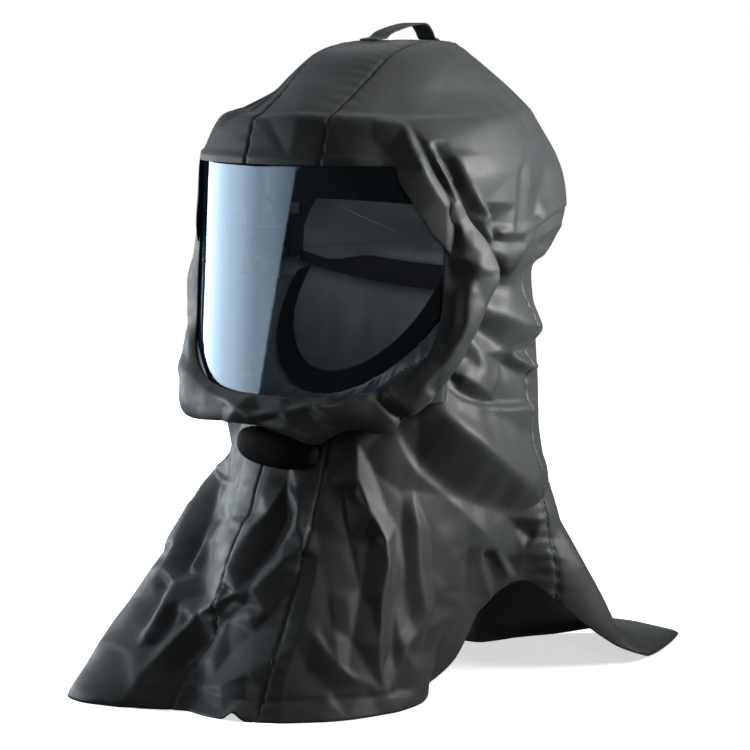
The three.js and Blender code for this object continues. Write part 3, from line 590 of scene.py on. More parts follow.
shell_relief = relief_map(SHELL_CREASES, CAPE_FACETS, CREASE_BLUR) + relief_map(SOFT_CREASES, None, SOFT_BLUR)


def level_low(normals, heights):
    """Directions turned level low on the cape, so that the hem stays on the ground."""
    turned = normals.copy()
    turned[:, 2] *= np.clip((heights - HEM_LEVEL["low"]) / HEM_LEVEL["span"], 0, 1)
    return turned / np.linalg.norm(turned, axis=1, keepdims=True)


def draped_shell(bearing, row):
    """The shell with its large folds."""
    place = shell_base(bearing, row)
    normal = level_low(normal_of(shell_base, bearing, row, 1.0, 0.05), place[:, 2])
    return place + normal * fold_rise(place)[:, None]


def shell_point(bearing, row):
    """The shell with its large folds, traced creases, seams and faint crumples."""
    row = np.clip(row, 0, TOP_ROW - 0.06)
    place = draped_shell(bearing, row)
    normal = normal_of(draped_shell, bearing, np.clip(row, 0.06, TOP_ROW - 0.12), 1.0, 0.05)
    seen = facing_camera(place, normal)
    rise = seen_rise(shell_relief, place) * seen + seam_rise(place)
    rise += crumple_rise(place) * (1 - (1 - SEEN_CRUMPLE) * seen)
    off_boss = (place[:, 1] - BOSS["y"]) ** 2 + (place[:, 2] - BOSS["z"]) ** 2
    boss = np.exp(-off_boss / (2 * BOSS["soft"] ** 2))
    rise += np.maximum(0, BOSS["rise"] - rise) * np.minimum(1, 2 * boss)
    return clear_of_visor(place + level_low(normal, place[:, 2]) * rise[:, None])


def clear_of_visor(places):
    """Cloth over the visor is kept just outside it."""
    x, y, z = places.T
    back = y - visor_centre(z)
    radius = np.hypot(x, back)
    beyond = np.maximum(0, np.abs(np.arctan2(x, -back)) - math.radians(VISOR["half_arc"])) * VISOR["radius"]
    lowest = VISOR_OUTSIDE + TOUCH + CLOTH + CLOTH_CLEAR - CLEAR_FADE * beyond
    lowest -= np.maximum(0, z - VISOR["top"]) * CLEAR_FADE
    lowest = np.where((y < 0) & (z > VISOR["bottom"]), lowest, 0)
    grow = np.maximum(1, lowest / np.maximum(radius, 1))
    return np.stack([x * grow, visor_centre(z) + back * grow, z], axis=1)


# Mesh helpers
def grid_sheet(us, vs, surface):
    """A bmesh grid with corners at surface(u, v), in mm, for columns us and rows vs; and each corner's v."""
    bm = bmesh.new()
    bmesh.ops.create_grid(bm, x_segments=len(us) - 1, y_segments=len(vs) - 1, size=0.5)
    flat = np.array([vert.co for vert in bm.verts])
    columns = (flat[:, 0] + 0.5) * (len(us) - 1)
    rows = (flat[:, 1] + 0.5) * (len(vs) - 1)
    u = np.interp(columns, np.arange(len(us)), us)
    v = np.interp(rows, np.arange(len(vs)), vs)
    for vert, place in zip(bm.verts, to_frame(surface(u, v))):
        vert.co = place
    return bm, v


def to_piece(bm, name, materials, smooth=True):
    """The finished piece of a bmesh, linked into the scene with its materials."""
    mesh = bpy.data.meshes.new(name)
    for face in bm.faces:
        face.smooth = smooth
    bm.to_mesh(mesh)
    bm.free()
    piece = bpy.data.objects.new(name, mesh)
    bpy.context.scene.collection.objects.link(piece)
    for material in materials:
        mesh.materials.append(material)
    return piece


def thicken(piece, thickness):
    wall = piece.modifiers.new("wall", "SOLIDIFY")
    wall.thickness = thickness * MM
    wall.offset = -1
    wall.use_even_offset = False
    return piece


def seat(piece, node):
    """The piece stands for a node of the frame: it rides on the root, and the node's own part is hidden."""
    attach(piece, "root")
    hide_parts(node)
    return piece


# Materials
def new_material(name):
    material = bpy.data.materials.new(name)
    material.use_nodes = True
    nodes = material.node_tree.nodes
    return material, nodes, material.node_tree.links, nodes["Principled BSDF"]


def noise(nodes, links, scale, detail=3.0, stretch=(1, 1, 1)):
    """Noise on Object coordinates, at a scale per metre."""
    where = nodes.new("ShaderNodeTexCoord")
    mapping = nodes.new("ShaderNodeMapping")
    mapping.inputs["Scale"].default_value = stretch
    texture = nodes.new("ShaderNodeTexNoise")
    texture.inputs["Scale"].default_value = scale
    texture.inputs["Detail"].default_value = detail
    links.new(where.outputs["Object"], mapping.inputs["Vector"])
    links.new(mapping.outputs["Vector"], texture.inputs["Vector"])
    return texture


def spread_to(nodes, links, source, low, high, to_low, to_high):
    spread = nodes.new("ShaderNodeMapRange")
    spread.inputs["From Min"].default_value = low
    spread.inputs["From Max"].default_value = high
    spread.inputs["To Min"].default_value = to_low
    spread.inputs["To Max"].default_value = to_high
    links.new(source, spread.inputs["Value"])
    return spread.outputs["Result"]


def tone(nodes, links, source, dark, light):
    ramp = nodes.new("ShaderNodeValToRGB")
    ramp.color_ramp.elements[0].position = 0.35
    ramp.color_ramp.elements[0].color = (*dark, 1)
    ramp.color_ramp.elements[1].position = 0.65
    ramp.color_ramp.elements[1].color = (*light, 1)
    links.new(source, ramp.inputs["Fac"])
    return ramp.outputs["Color"]


def bump(nodes, links, source, strength, distance, under=None):
    relief = nodes.new("ShaderNodeBump")
    relief.inputs["Strength"].default_value = strength
    relief.inputs["Distance"].default_value = distance * MM
    links.new(source, relief.inputs["Height"])
    if under is not None:
        links.new(under, relief.inputs["Normal"])
    return relief.outputs["Normal"]


def coated_cloth(name, dark, light, rough, sheen):
    """Satin coated cloth: a soft sheen, faint cloudiness and a fine grain."""
    material, nodes, links, shader = new_material(name)
    cloud = noise(nodes, links, 38, 4)
    grain = noise(nodes, links, 1500, 2)
    wear = noise(nodes, links, 140, 5)
    links.new(tone(nodes, links, cloud.outputs["Fac"], dark, light), shader.inputs["Base Color"])
    links.new(
        spread_to(nodes, links, wear.outputs["Fac"], 0.3, 0.7, rough - 0.05, rough + 0.06),
        shader.inputs["Roughness"],
    )
    soft = bump(nodes, links, wear.outputs["Fac"], 0.12, 0.6)
    links.new(bump(nodes, links, grain.outputs["Fac"], 0.18, 0.12, soft), shader.inputs["Normal"])
    shader.inputs["Sheen Weight"].default_value = sheen
    shader.inputs["Sheen Roughness"].default_value = 0.45
    shader.inputs["Specular IOR Level"].default_value = 0.45
    return material


def moulded(name, dark, light, rough):
    """Moulded plastic or rubber with a fine matt grain."""
    material, nodes, links, shader = new_material(name)
    cloud = noise(nodes, links, 120, 3)
    grain = noise(nodes, links, 2600, 2)
    links.new(tone(nodes, links, cloud.outputs["Fac"], dark, light), shader.inputs["Base Color"])
    links.new(
        spread_to(nodes, links, cloud.outputs["Fac"], 0.3, 0.7, rough - 0.06, rough + 0.06),
        shader.inputs["Roughness"],
    )
    links.new(bump(nodes, links, grain.outputs["Fac"], 0.25, 0.1), shader.inputs["Normal"])
    shader.inputs["Specular IOR Level"].default_value = 0.22
    return material


def webbing(name, dark, light, across):
    """Woven strap: ribs along it with cross picks."""
    material, nodes, links, shader = new_material(name)
    where = nodes.new("ShaderNodeTexCoord")
    ribs = nodes.new("ShaderNodeTexWave")
    ribs.bands_direction = across
    ribs.inputs["Scale"].default_value = 190
    ribs.inputs["Distortion"].default_value = 0.4
    links.new(where.outputs["Object"], ribs.inputs["Vector"])
    grain = noise(nodes, links, 1800, 2)
    links.new(tone(nodes, links, ribs.outputs["Fac"], dark, light), shader.inputs["Base Color"])
    woven = bump(nodes, links, ribs.outputs["Fac"], 0.5, 0.3)
    links.new(bump(nodes, links, grain.outputs["Fac"], 0.3, 0.15, woven), shader.inputs["Normal"])
    shader.inputs["Roughness"].default_value = 0.7
    shader.inputs["Sheen Weight"].default_value = 0.03
    shader.inputs["Specular IOR Level"].default_value = 0.2
    return material


def perforated_pad(name, dark, light):
    """Sweat band: soft dark-blue cloth with rows of small holes, which are painted darker as painted shade in
    them.
    """
    material, nodes, links, shader = new_material(name)
    where = nodes.new("ShaderNodeTexCoord")
    holes = nodes.new("ShaderNodeTexVoronoi")
    holes.feature = "F1"
    holes.inputs["Scale"].default_value = 150
    holes.inputs["Randomness"].default_value = 0.0
    links.new(where.outputs["UV"], holes.inputs["Vector"])
    edge = spread_to(nodes, links, holes.outputs["Distance"], 0.16, 0.24, 0, 1)
    # Painted shade: the holes take the darker tone
    links.new(tone(nodes, links, edge, dark, light), shader.inputs["Base Color"])
    grain = noise(nodes, links, 900, 2)
    pressed = bump(nodes, links, edge, 0.6, 0.6)
    links.new(bump(nodes, links, grain.outputs["Fac"], 0.3, 0.2, pressed), shader.inputs["Normal"])
    shader.inputs["Roughness"].default_value = 0.85
    shader.inputs["Sheen Weight"].default_value = 0.05
    shader.inputs["Specular IOR Level"].default_value = 0.2
    return material


def clear_sheet(name, passed, mirrored, outside):
    """Clear visor sheet: see-through with a bluish tint; its outside mirrors more where it turns away."""
    material, nodes, links, shader = new_material(name)
    nodes.remove(shader)
    through = nodes.new("ShaderNodeBsdfTransparent")
    through.inputs["Color"].default_value = (*passed, 1)
    mirror = nodes.new("ShaderNodeBsdfGlossy")
    mirror.inputs["Color"].default_value = (*mirrored, 1)
    mirror.inputs["Roughness"].default_value = 0.02
    mix = nodes.new("ShaderNodeMixShader")
    mix.inputs["Fac"].default_value = 0.02
    if outside:
        fresnel = nodes.new("ShaderNodeFresnel")
        fresnel.inputs["IOR"].default_value = 1.5
        links.new(fresnel.outputs["Fac"], mix.inputs["Fac"])
    links.new(through.outputs["BSDF"], mix.inputs[1])
    links.new(mirror.outputs["BSDF"], mix.inputs[2])
    links.new(mix.outputs["Shader"], nodes["Material Output"].inputs["Surface"])
    return material


def visor_edge(name):
    """The sheet's cut edge: blue, with a faint painted glow."""
    material, nodes, links, shader = new_material(name)
    cloud = noise(nodes, links, 60, 2)
    blue = tone(nodes, links, cloud.outputs["Fac"], (0.05, 0.16, 0.3), (0.08, 0.24, 0.42))
    links.new(blue, shader.inputs["Base Color"])
    shader.inputs["Roughness"].default_value = 0.25
    # Painted glow: a faint blue emission along the cut edge
    shader.inputs["Emission Color"].default_value = (0.08, 0.36, 0.75, 1)
    shader.inputs["Emission Strength"].default_value = 0.05
    return material


hood_cloth = coated_cloth("coated_cloth", (0.036, 0.0398, 0.0412), (0.042, 0.0463, 0.048), 0.52, 0.08)
inner_cloth = coated_cloth("inner_cloth", (0.075, 0.082, 0.086), (0.09, 0.098, 0.102), 0.6, 0.15)
seal_cloth = coated_cloth("seal_cloth", (0.42, 0.48, 0.57), (0.52, 0.58, 0.67), 0.6, 0.3)
handle_web = webbing("handle_web", (0.03, 0.033, 0.035), (0.06, 0.065, 0.068), "X")
black_strap = webbing("black_strap", (0.002, 0.002, 0.003), (0.005, 0.005, 0.006), "Z")
black_plastic = moulded("black_plastic", (0.006, 0.006, 0.007), (0.01, 0.01, 0.012), 0.42)
black_rubber = moulded("black_rubber", (0.001, 0.001, 0.001), (0.002, 0.002, 0.002), 0.75)
sweat_cloth = perforated_pad("sweat_cloth", (0.003, 0.003, 0.005), (0.012, 0.0135, 0.02))
visor_clear = clear_sheet("visor_clear", (0.95, 0.975, 0.985), (0.66, 0.83, 1.0), True)
visor_inner = clear_sheet("visor_inner", (0.97, 0.985, 0.99), (0.66, 0.83, 1.0), False)
visor_rim_glow = visor_edge("visor_rim_glow")

# Cloth panels: one shell, opened for the face and parted at its seams
ROW_PITCH = 2.0
PITCH_BEARING = 60.0  # bearing of the side that the pitch is measured along
bearings = np.concatenate([
    np.linspace(-180, -62, 60)[:-1],
    np.linspace(-62, 32, 250)[:-1],
    np.linspace(32, 150, 190)[:-1],
    np.linspace(150, 180, 20),
])


def even_rows(low, high):
    """Rows of the shell at an even pitch along its side."""
    fine = np.linspace(low, high, 600)
    profile = shell_base(np.full(len(fine), PITCH_BEARING), fine)
    length = np.concatenate([[0], np.cumsum(np.linalg.norm(np.diff(profile, axis=0), axis=1))])
    count = max(2, round(length[-1] / ROW_PITCH))
    return np.interp(np.linspace(0, length[-1], count + 1), length, fine)


shell_rows = np.concatenate([even_rows(0, CROWN_ROW), even_rows(CROWN_ROW, TOP_ROW)[1:]])


def swell_at(bearing, spot):
    """1 at a spot's bearing, falling off over its half width."""
    return np.exp(-(((bearing - spot["bearing"]) / spot["half"]) ** 2))


def cloth_place(bearing, row):
    """The shell with its hem: a turned-up band in front, a notch, and a tail that curls at the rear."""
    place = shell_point(bearing, row)
    above_hem = row_at(SECTIONS, row)[:, 0]
    low = np.clip(1 - above_hem / HEM_BAND["height"], 0, 1)
    crease = HEM_BAND["crease"] * np.exp(-(((above_hem - HEM_BAND["height"]) / HEM_BAND["crease_half"]) ** 2))
    band = smooth_step(HEM_BAND["start"] - HEM_BAND["fade_in"], HEM_BAND["start"], bearing)
    band *= 1 - smooth_step(HEM_BAND["end"], HEM_BAND["end"] + HEM_BAND["fade_out"], bearing)
    turn = np.radians(bearing)
    outward = np.stack([np.sin(turn), -np.cos(turn), np.zeros(len(turn))], axis=1)
    place += outward * (band * (HEM_BAND["flare"] * low - crease))[:, None]
    place[:, 2] += low * HEM_NOTCH["rise"] * swell_at(bearing, HEM_NOTCH)
    beyond = np.maximum(0, np.hypot(place[:, 0], place[:, 1]) - TAIL["start"])
    place[:, 2] += TAIL["slope"] * beyond * swell_at(bearing, TAIL) * (place[:, 2] < TAIL["top"])
    return place


def cut_all(bm, faces, point, normal):
    """Cuts some faces along a plane given in mm from the axis."""
    edges = list({edge for face in faces for edge in face.edges})
    verts = list({vert for face in faces for vert in face.verts})
    bmesh.ops.bisect_plane(
        bm, geom=verts + edges + faces, dist=1e-6, plane_co=Vector(to_frame(point)), plane_no=Vector(normal),
    )


def from_axis(co):
    return (np.array(co) - AXIS) / MM


def panel_names(centres, in_crown):
    """The panel that each face of the shell belongs to, by its middle; none inside the face opening."""
    x, y, z = centres.T
    cut = FACE_CUT
    heights = [cut["bottom"], cut["low"], cut["start"], cut["to"], cut["high"], cut["top"]]
    halves = [cut["bottom_half"], cut["low_half"], cut["half"], cut["half"], cut["high_half"]]
    left_half = np.interp(z, heights, [*halves, cut["top_left"]])
    right_half = np.interp(z, heights, [*halves, cut["top_right"]])
    half = np.where(x > 0, left_half, right_half)
    opened = (y < cut["back"]) & (cut["bottom"] < z) & (z < cut["top"]) & (np.abs(x) < half)
    bib = (seam_x(-1, y) < x) & (x < seam_x(1, y))
    first_match = {
        "": opened,
        "crown_center_panel": in_crown & (np.abs(x) < CROWN_SEAM),
        "crown_left_panel": in_crown & (x > 0),
        "crown_right_panel": in_crown,
        "back_panel": y > SIDE_SEAM * np.abs(x),
        "front_center_panel": bib,
        "front_left_panel": x > 0,
    }
    return np.select(list(first_match.values()), list(first_match), "front_right_panel")


def cut_where(bm, crown, within, point, normal):
    """Cuts the faces of the crown or of the cape whose middles lie within a test along a plane."""
    faces = [
        face for face in bm.faces
        if face.material_index == crown and within(*(face.calc_center_median() - Vector(AXIS)) / MM)
    ]
    cut_all(bm, faces, point, normal)


def line_cloth(part):
    """Gives a panel its inner side and edges, along the whole shell's directions, so that panels meet."""
    outward = part.verts.layers.float_vector["outward"]
    grown = bmesh.ops.extrude_face_region(part, geom=part.faces[:], use_keep_orig=True)["geom"]
    for item in grown:
        if isinstance(item, bmesh.types.BMVert):
            item.co -= item[outward] * CLOTH * MM
        elif isinstance(item, bmesh.types.BMFace):
            item.material_index = 1
    bmesh.ops.recalc_face_normals(part, faces=part.faces[:])


def cut_seams(bm):
    """Cuts the shell along its seams and along the sides and top of the face opening."""
    cut = FACE_CUT
    front = BIB_SEAM["front"]
    for side, top_half in ((1, cut["top_left"]), (-1, cut["top_right"])):
        slope = (cut["top"] - cut["high"]) / (cut["high_half"] - top_half)
        seam = side * CROWN_SEAM
        cut_where(bm, 1, lambda x, y, z: abs(x - seam) < SEAM_STRIP, (seam, 0, 0), (1, 0, 0))
        cut_where(
            bm, 1, lambda x, y, z: y < CUT_FRONT and side * x > CUT_SIDE,
            (side * top_half, 0, cut["top"]), (side * slope, 0, 1),
        )
        tilt = BIB_SEAM["left_slope"] if side > 0 else BIB_SEAM["right_slope"]
        cut_where(
            bm, 0, lambda x, y, z: y < front and abs(x - seam_x(side, y)) < SEAM_STRIP,
            (seam_x(side, -BIB_SEAM["reach"]), -BIB_SEAM["reach"], 0), (1, side * tilt, 0),
        )
        cut_where(
            bm, 0, lambda x, y, z: side * x > SIDE_STRIP["x"] and abs(y) < SIDE_STRIP["y"],
            (0, 0, 0), (-side * SIDE_SEAM, 1, 0),
        )
    cut_where(
        bm, 1, lambda x, y, z: y < CUT_FRONT and abs(z - cut["top"]) < SEAM_STRIP,
        (0, 0, cut["top"]), (0, 0, 1),
    )


def hood_panels():
    """The panels, and the corners and outward directions of each one's outer side."""
    bm, rows = grid_sheet(bearings, shell_rows, cloth_place)
    for vert, row in zip(bm.verts, rows):
        vert.tag = bool(row >= CROWN_ROW - 1e-6)
    for face in bm.faces:
        face.material_index = 1 if all(vert.tag for vert in face.verts) else 0
    bmesh.ops.remove_doubles(bm, verts=bm.verts, dist=0.05 * MM)
    bmesh.ops.recalc_face_normals(bm, faces=bm.faces)
    cut_seams(bm)
    centres = from_axis([face.calc_center_median() for face in bm.faces])
    in_crown = np.array([face.material_index == 1 for face in bm.faces])
    names = panel_names(centres, in_crown)
    bm.normal_update()
    outward = bm.verts.layers.float_vector.new("outward")
    for vert in bm.verts:
        vert[outward] = vert.normal
    pieces = {}
    skins = {}
    for name in sorted(set(names) - {""}):
        part = bm.copy()
        others = [face for face, owner in zip(part.faces, names) if owner != name]
        bmesh.ops.delete(part, geom=others, context="FACES")
        for face in part.faces:
            face.material_index = 0
        outward = part.verts.layers.float_vector["outward"]
        corners = from_axis([vert.co for vert in part.verts])
        skins[str(name)] = corners, np.array([vert[outward] for vert in part.verts])
        line_cloth(part)
        piece = to_piece(part, str(name) + "_cloth", [hood_cloth, inner_cloth])
        pieces[str(name)] = seat(piece, str(name))
    bm.free()
    return pieces, skins


panels, skins = hood_panels()

# Stitches: thread dashes in the seams
STITCH = dict(length=3.0, thick=0.8, pitch=4.4, above=0.5)
thread = moulded("thread", (0.07, 0.077, 0.08), (0.1, 0.108, 0.112), 0.6)


def seam_path(skin, off_seam, order):
    """A panel's outer corners that lie on a seam, in order along it, with their outward directions."""
    corners, outward = skin
    on_seam = np.flatnonzero(np.abs(off_seam(*corners.T)) < 0.02)
    on_seam = on_seam[np.argsort(order(*corners[on_seam].T))]
    return corners[on_seam], outward[on_seam]


def along_path(rows, length, at):
    """The row of a table at a length along a path."""
    return np.array([np.interp(at, length, column) for column in rows.T])


def stitches(name, path, outward):
    """A row of thread dashes along a path."""
    length = np.concatenate([[0], np.cumsum(np.linalg.norm(np.diff(path, axis=0), axis=1))])
    starts = np.arange(STITCH["pitch"], length[-1] - STITCH["pitch"], STITCH["pitch"])
    half_long, half_thick = STITCH["length"] / 2 * MM, STITCH["thick"] / 2 * MM
    size = Matrix.Diagonal((half_long, half_thick, half_thick, 1))
    bm = bmesh.new()
    for start in starts:
        a = along_path(path, length, start)
        b = along_path(path, length, start + STITCH["length"])
        up = along_path(outward, length, start)
        middle = Matrix.Translation(Vector(to_frame((a + b) / 2 + STITCH["above"] * up)))
        turn = Vector(b - a).to_track_quat("X", "Z").to_matrix().to_4x4()
        bmesh.ops.create_icosphere(bm, subdivisions=1, radius=1, matrix=middle @ turn @ size)
    piece = to_piece(bm, name, [thread])
    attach(piece, "root")
    return piece


def round_crown(x, y, z):
    return np.arctan2(z - BROW["low"], -y)


def upward(x, y, z):
    return z


# Each stitched seam: a panel that it borders, how far a place is off it, and the order along it
SEAMS = dict(
    crown_left=("crown_center_panel", lambda x, y, z: x - CROWN_SEAM, round_crown),
    crown_right=("crown_center_panel", lambda x, y, z: x + CROWN_SEAM, round_crown),
    bib_left=("front_center_panel", lambda x, y, z: x - seam_x(1, y), upward),
    bib_right=("front_center_panel", lambda x, y, z: x - seam_x(-1, y), upward),
    side_left=("back_panel", lambda x, y, z: np.where(x > 0, y - SIDE_SEAM * x, 1), upward),
    side_right=("back_panel", lambda x, y, z: np.where(x < 0, y + SIDE_SEAM * x, 1), upward),
)
threads = {
    seam: stitches(seam + "_stitches", *seam_path(skins[panel], off_seam, order))
    for seam, (panel, off_seam, order) in SEAMS.items()
}

# Collar: angle round the opening from the chin, then width, puff and tuck of the roll
COLLAR_STATIONS = np.array([
    [-106, 18, 1.5, 34],
    [-96, 30, 5, 42],
    [-80, 36, 9, 46],
    [-53, 36, 14, 44],
    [-27, 21, 11, 32],
    [-14, 18, 10, 28],
    [0, 20, 9, 26],
    [12, 26, 9, 26],
    [20, 31, 9, 24],
    [26, 25, 9, 25],
    [34, 21, 9, 28],
    [43, 30, 9, 32],
    [48, 23, 9, 36],
    [60, 20, 10, 35],
    [72, 24, 11, 39],
    [82, 34, 11, 48],
    [90, 42, 9, 46],
    [99, 34, 4, 34],
    [108, 18, 1, 20],
    [118, 8, 0.5, 12],
    [126, 4, 0.5, 6],
], float)
# The roll's profile from the visor to the neck, as shares of its width, puff and tuck
COLLAR_PROFILE = np.array([
    [0, 0, 0],
    [0.3, 0.56, 0],
    [0.62, 0.9, 0],
    [0.96, 1.0, 0.08],
    [1.0, 0.78, 0.2],
    [0.98, 0.1, 1],
], float)
# Folds across the roll: from the visor and to the neck in degrees round the opening, width, rise
COLLAR_FOLDS = np.array([
    [-88, -80, 9, 3],
    [-66, -72, 8, -3],
    [-50, -44, 10, 3],
    [-30, -20, 9, -2],
], float)
# Creases traced on the roll, as for the shell
COLLAR_CREASES = dict(
    star=[(441, 224, 3), (451, 206, 7), (458, 222, 3)],
    star_hollow=[(448, 228, -3), (455, 236, -3)],
    upper_facet=[(462, 236, 3), (470, 246, 5), (480, 251, 4)],
    diamond_top=[(450, 275, -3), (461, 257, 4), (477, 267, 7)],
    diamond_low=[(450, 275, -3), (462, 285, 0), (469, 291, 6)],
    spike=[(477, 267, 7), (486, 272, 5), (492, 276, 2)],
    bright_facet=[(477, 267, 7), (474, 279, 3), (469, 291, 6)],
    crest=[
        (469, 291, 6), (467, 304, 5), (466, 322, 5), (457, 344, 4), (449, 358, 4), (440, 371, 4),
        (424, 389, 5), (412, 404, 4),
    ],
    hollow=[(455, 300, -1), (454, 326, -2), (447, 344, -1)],
    inner_fold=[(445, 352, 2), (440, 362, 2)],
    corner_crease=[(381, 398, -4), (391, 407, -5), (403, 418, -3)],
    corner_side=[(376, 402, 2), (386, 412, 2), (396, 422, 1)],
    corner_top=[(388, 396, 3), (398, 405, 3), (408, 414, 2)],
    bottom=[
        (222, 398, 3), (240, 409, 6), (252, 416, 6), (285, 413, 4), (318, 408, 5), (350, 405, 4),
        (368, 402, 3),
    ],
    bottom_low=[(250, 424, 1), (290, 428, 2), (318, 438, 4), (340, 427, 2), (366, 418, 2)],
    left=[(206, 300, 1), (197, 345, 5), (198, 378, 4), (210, 392, 3)],
    left_fold=[(197, 345, 5), (188, 356, 2), (180, 368, 3)],
)


def opening_outline(angle):
    """The opening's outline at an angle from straight down, as arc length and height on the visor."""
    half_width = math.radians(VISOR["half_arc"]) * VISOR["radius"]
    sine, cosine = np.sin(np.radians(angle)), np.cos(np.radians(angle))
    power = COLLAR["power"]
    wide = (np.abs(sine) / half_width) ** power
    high = (np.abs(cosine) / COLLAR["half_height"]) ** power
    reach = (wide + high) ** (-1 / power)
    return reach * sine, COLLAR["middle"] - reach * cosine


def visor_place(arc, height, radius):
    """A place on the leaning cylinder of the visor, at an arc in radians."""
    return np.stack([radius * np.sin(arc), visor_centre(height) - radius * np.cos(arc), height], axis=-1)


def collar_place(angle, share):
    arc_length, height = opening_outline(angle)
    ahead, behind = opening_outline(angle + 1), opening_outline(angle - 1)
    outward = np.stack([ahead[1] - behind[1], behind[0] - ahead[0]], axis=1)
    outward /= np.linalg.norm(outward, axis=1, keepdims=True)
    arc = arc_length / VISOR["radius"]
    zero = np.zeros(len(arc))
    along = np.stack([np.cos(arc), np.sin(arc), zero], axis=1)
    up = np.array([0, LEAN, 1]) / math.hypot(LEAN, 1)
    facing = np.stack([np.sin(arc), -np.cos(arc), zero + LEAN], axis=1) / math.hypot(LEAN, 1)
    out = along * outward[:, :1] + up * outward[:, 1:]
    position = np.interp(angle, COLLAR_STATIONS[:, 0], np.arange(len(COLLAR_STATIONS)))
    width, puff, tuck = row_at(COLLAR_STATIONS, position).T[1:]
    for start, end, spread, rise in COLLAR_FOLDS:
        off = np.clip((angle - start - (end - start) * share) / spread, -1, 1)
        puff = puff + (1 - off * off) ** 2 * rise
    over, up_share, back_share = row_at(COLLAR_PROFILE, share * (len(COLLAR_PROFILE) - 1)).T
    across = (width + COLLAR["inset"]) * over - COLLAR["inset"]
    raised = puff * up_share - tuck * back_share
    start = visor_place(arc, height, VISOR_OUTSIDE + TOUCH + CLOTH)
    return start + out * across[:, None] + facing * raised[:, None]


collar_relief = relief_map(COLLAR_CREASES, COLLAR_FACETS, CREASE_BLUR)


def folded_collar(angle, share):
    place = collar_place(angle, share)
    normal = -normal_of(collar_place, angle, np.clip(share, 0.02, 0.98), 0.5, 0.02)
    fade = np.clip(share * 8, 0, 1)
    rise = seen_rise(collar_relief, place) * facing_camera(place, normal) * fade
    return place + normal * rise[:, None]


def face_collar():
    angles = np.linspace(COLLAR["end"], COLLAR["start"], 360)
    bm, _ = grid_sheet(angles, np.linspace(0.02, 1, 34), folded_collar)
    bmesh.ops.recalc_face_normals(bm, faces=bm.faces)
    piece = to_piece(bm, "face_collar_cloth", [hood_cloth])
    thicken(piece, CLOTH)
    return seat(piece, "face_collar")


collar = face_collar()


# Visor
def visor_half_arc(height):
    below = np.clip((COLLAR["middle"] - height) / (COLLAR["middle"] - VISOR["bottom"] + 2), 0, 1)
    return math.radians(VISOR["half_arc"]) * (1 - below ** COLLAR["power"]) ** (1 / COLLAR["power"])


def visor_outside(share, height):
    return visor_place(share * visor_half_arc(height), height, VISOR_OUTSIDE)


def visor_sheet():
    shares = np.linspace(-1, 1, 61)
    heights = np.concatenate([np.linspace(VISOR["bottom"], 280, 16), np.linspace(285, VISOR["top"], 20)])
    bm, _ = grid_sheet(shares, heights, visor_outside)
    bmesh.ops.recalc_face_normals(bm, faces=bm.faces)
    piece = to_piece(bm, "visor_sheet", [visor_clear, visor_inner, visor_rim_glow])
    wall = thicken(piece, VISOR["wall"]).modifiers["wall"]
    wall.material_offset = 1
    wall.material_offset_rim = 2
    return seat(piece, "visor")


visor_sheet()


# Bands inside the hood
def standing_band(name, path, shares, height, wall, material):
    """A band standing on a path, whose height is a function of the share along it."""
    bm, _ = grid_sheet(
        shares, np.linspace(0, 1, 9),
        lambda share, up: path(share) + np.stack([0 * up, 0 * up, up * height(share)], axis=1),
    )
    uv = bm.loops.layers.uv.new("cloth")
    for face in bm.faces:
        for loop in face.loops:
            co = loop.vert.co
            loop[uv].uv = (math.atan2(co.x, -co.y) * SWEAT_BAND["half"] * MM, co.z)
    bmesh.ops.recalc_face_normals(bm, faces=bm.faces)
    piece = to_piece(bm, name, [material])
    thicken(piece, wall)
    return piece


def sweat_path(share):
    angle = np.radians(share * SWEAT_BAND["arc"])
    return np.stack([
        SWEAT_BAND["half"] * np.sin(angle),
        SWEAT_BAND["centre"] - SWEAT_BAND["front"] * np.cos(angle),
        SWEAT_BAND["low"] - SWEAT_BAND["drop"] * (1 - np.cos(angle)),
    ], axis=1)


sweat_band = standing_band(
    "sweat_band_pad", sweat_path, np.linspace(-1, 1, 97), lambda share: SWEAT_BAND["height"] + 0 * share,
    SWEAT_BAND["wall"], sweat_cloth,
)
seat(sweat_band, "sweat_band")


def nape_path(share):
    angle = np.radians(share * 90)
    return np.stack([
        -NAPE["half"] * np.sin(angle),
        NAPE["centre"] + NAPE["reach"] * np.cos(angle),
        NAPE["z"] - NAPE["dip"] * np.cos(angle),
    ], axis=1)


def nape_height(share):
    """The strap is thin at the frame and broad at the nape."""
    return NAPE["height"] - (NAPE["height"] - NAPE["thin"]) * smooth_step(0.45, 0.8, np.abs(share))


nape_strap = standing_band(
    "nape_strap_web", nape_path, np.linspace(-1, 1, 73), nape_height, NAPE["wall"], black_strap,
)
seat(nape_strap, "nape_strap")


# Face seal: gathered cloth from inside the visor's lower edge to an elastic round the chin
RUFFLE = dict(count=38, rise=4.6, gathers=2.4, gather_rise=1.4)


def seal_ring(angle):
    turn = np.radians(angle)
    return np.stack([
        SEAL["half"] * np.sin(turn),
        SEAL["centre"] - SEAL["front"] * np.cos(turn),
        SEAL["z"] - SEAL["drop"] * np.cos(turn),
    ], axis=1)


def seal_place(angle, share):
    arc_length, height = opening_outline(angle)
    edge = visor_place(arc_length / VISOR["radius"], height + 2, VISOR["radius"] - TOUCH)
    place = edge + (seal_ring(angle) - edge) * share[:, None]
    swell = np.sin(np.pi * np.clip(share, 0, 1)) ** 0.7
    turn = np.radians(angle)
    wave = np.sin(turn * RUFFLE["count"] + 1.3 * np.sin(turn * 7))
    gathers = np.sin(turn * RUFFLE["count"] * RUFFLE["gathers"] + 2.1 * np.sin(turn * 11))
    lift = 0.6 + 0.4 * np.sin(turn * 13 + 1)
    ruffles = RUFFLE["rise"] * lift * wave * share + RUFFLE["gather_rise"] * gathers * share**2
    place[:, 2] += swell * (ruffles - SEAL["sag"])
    return place


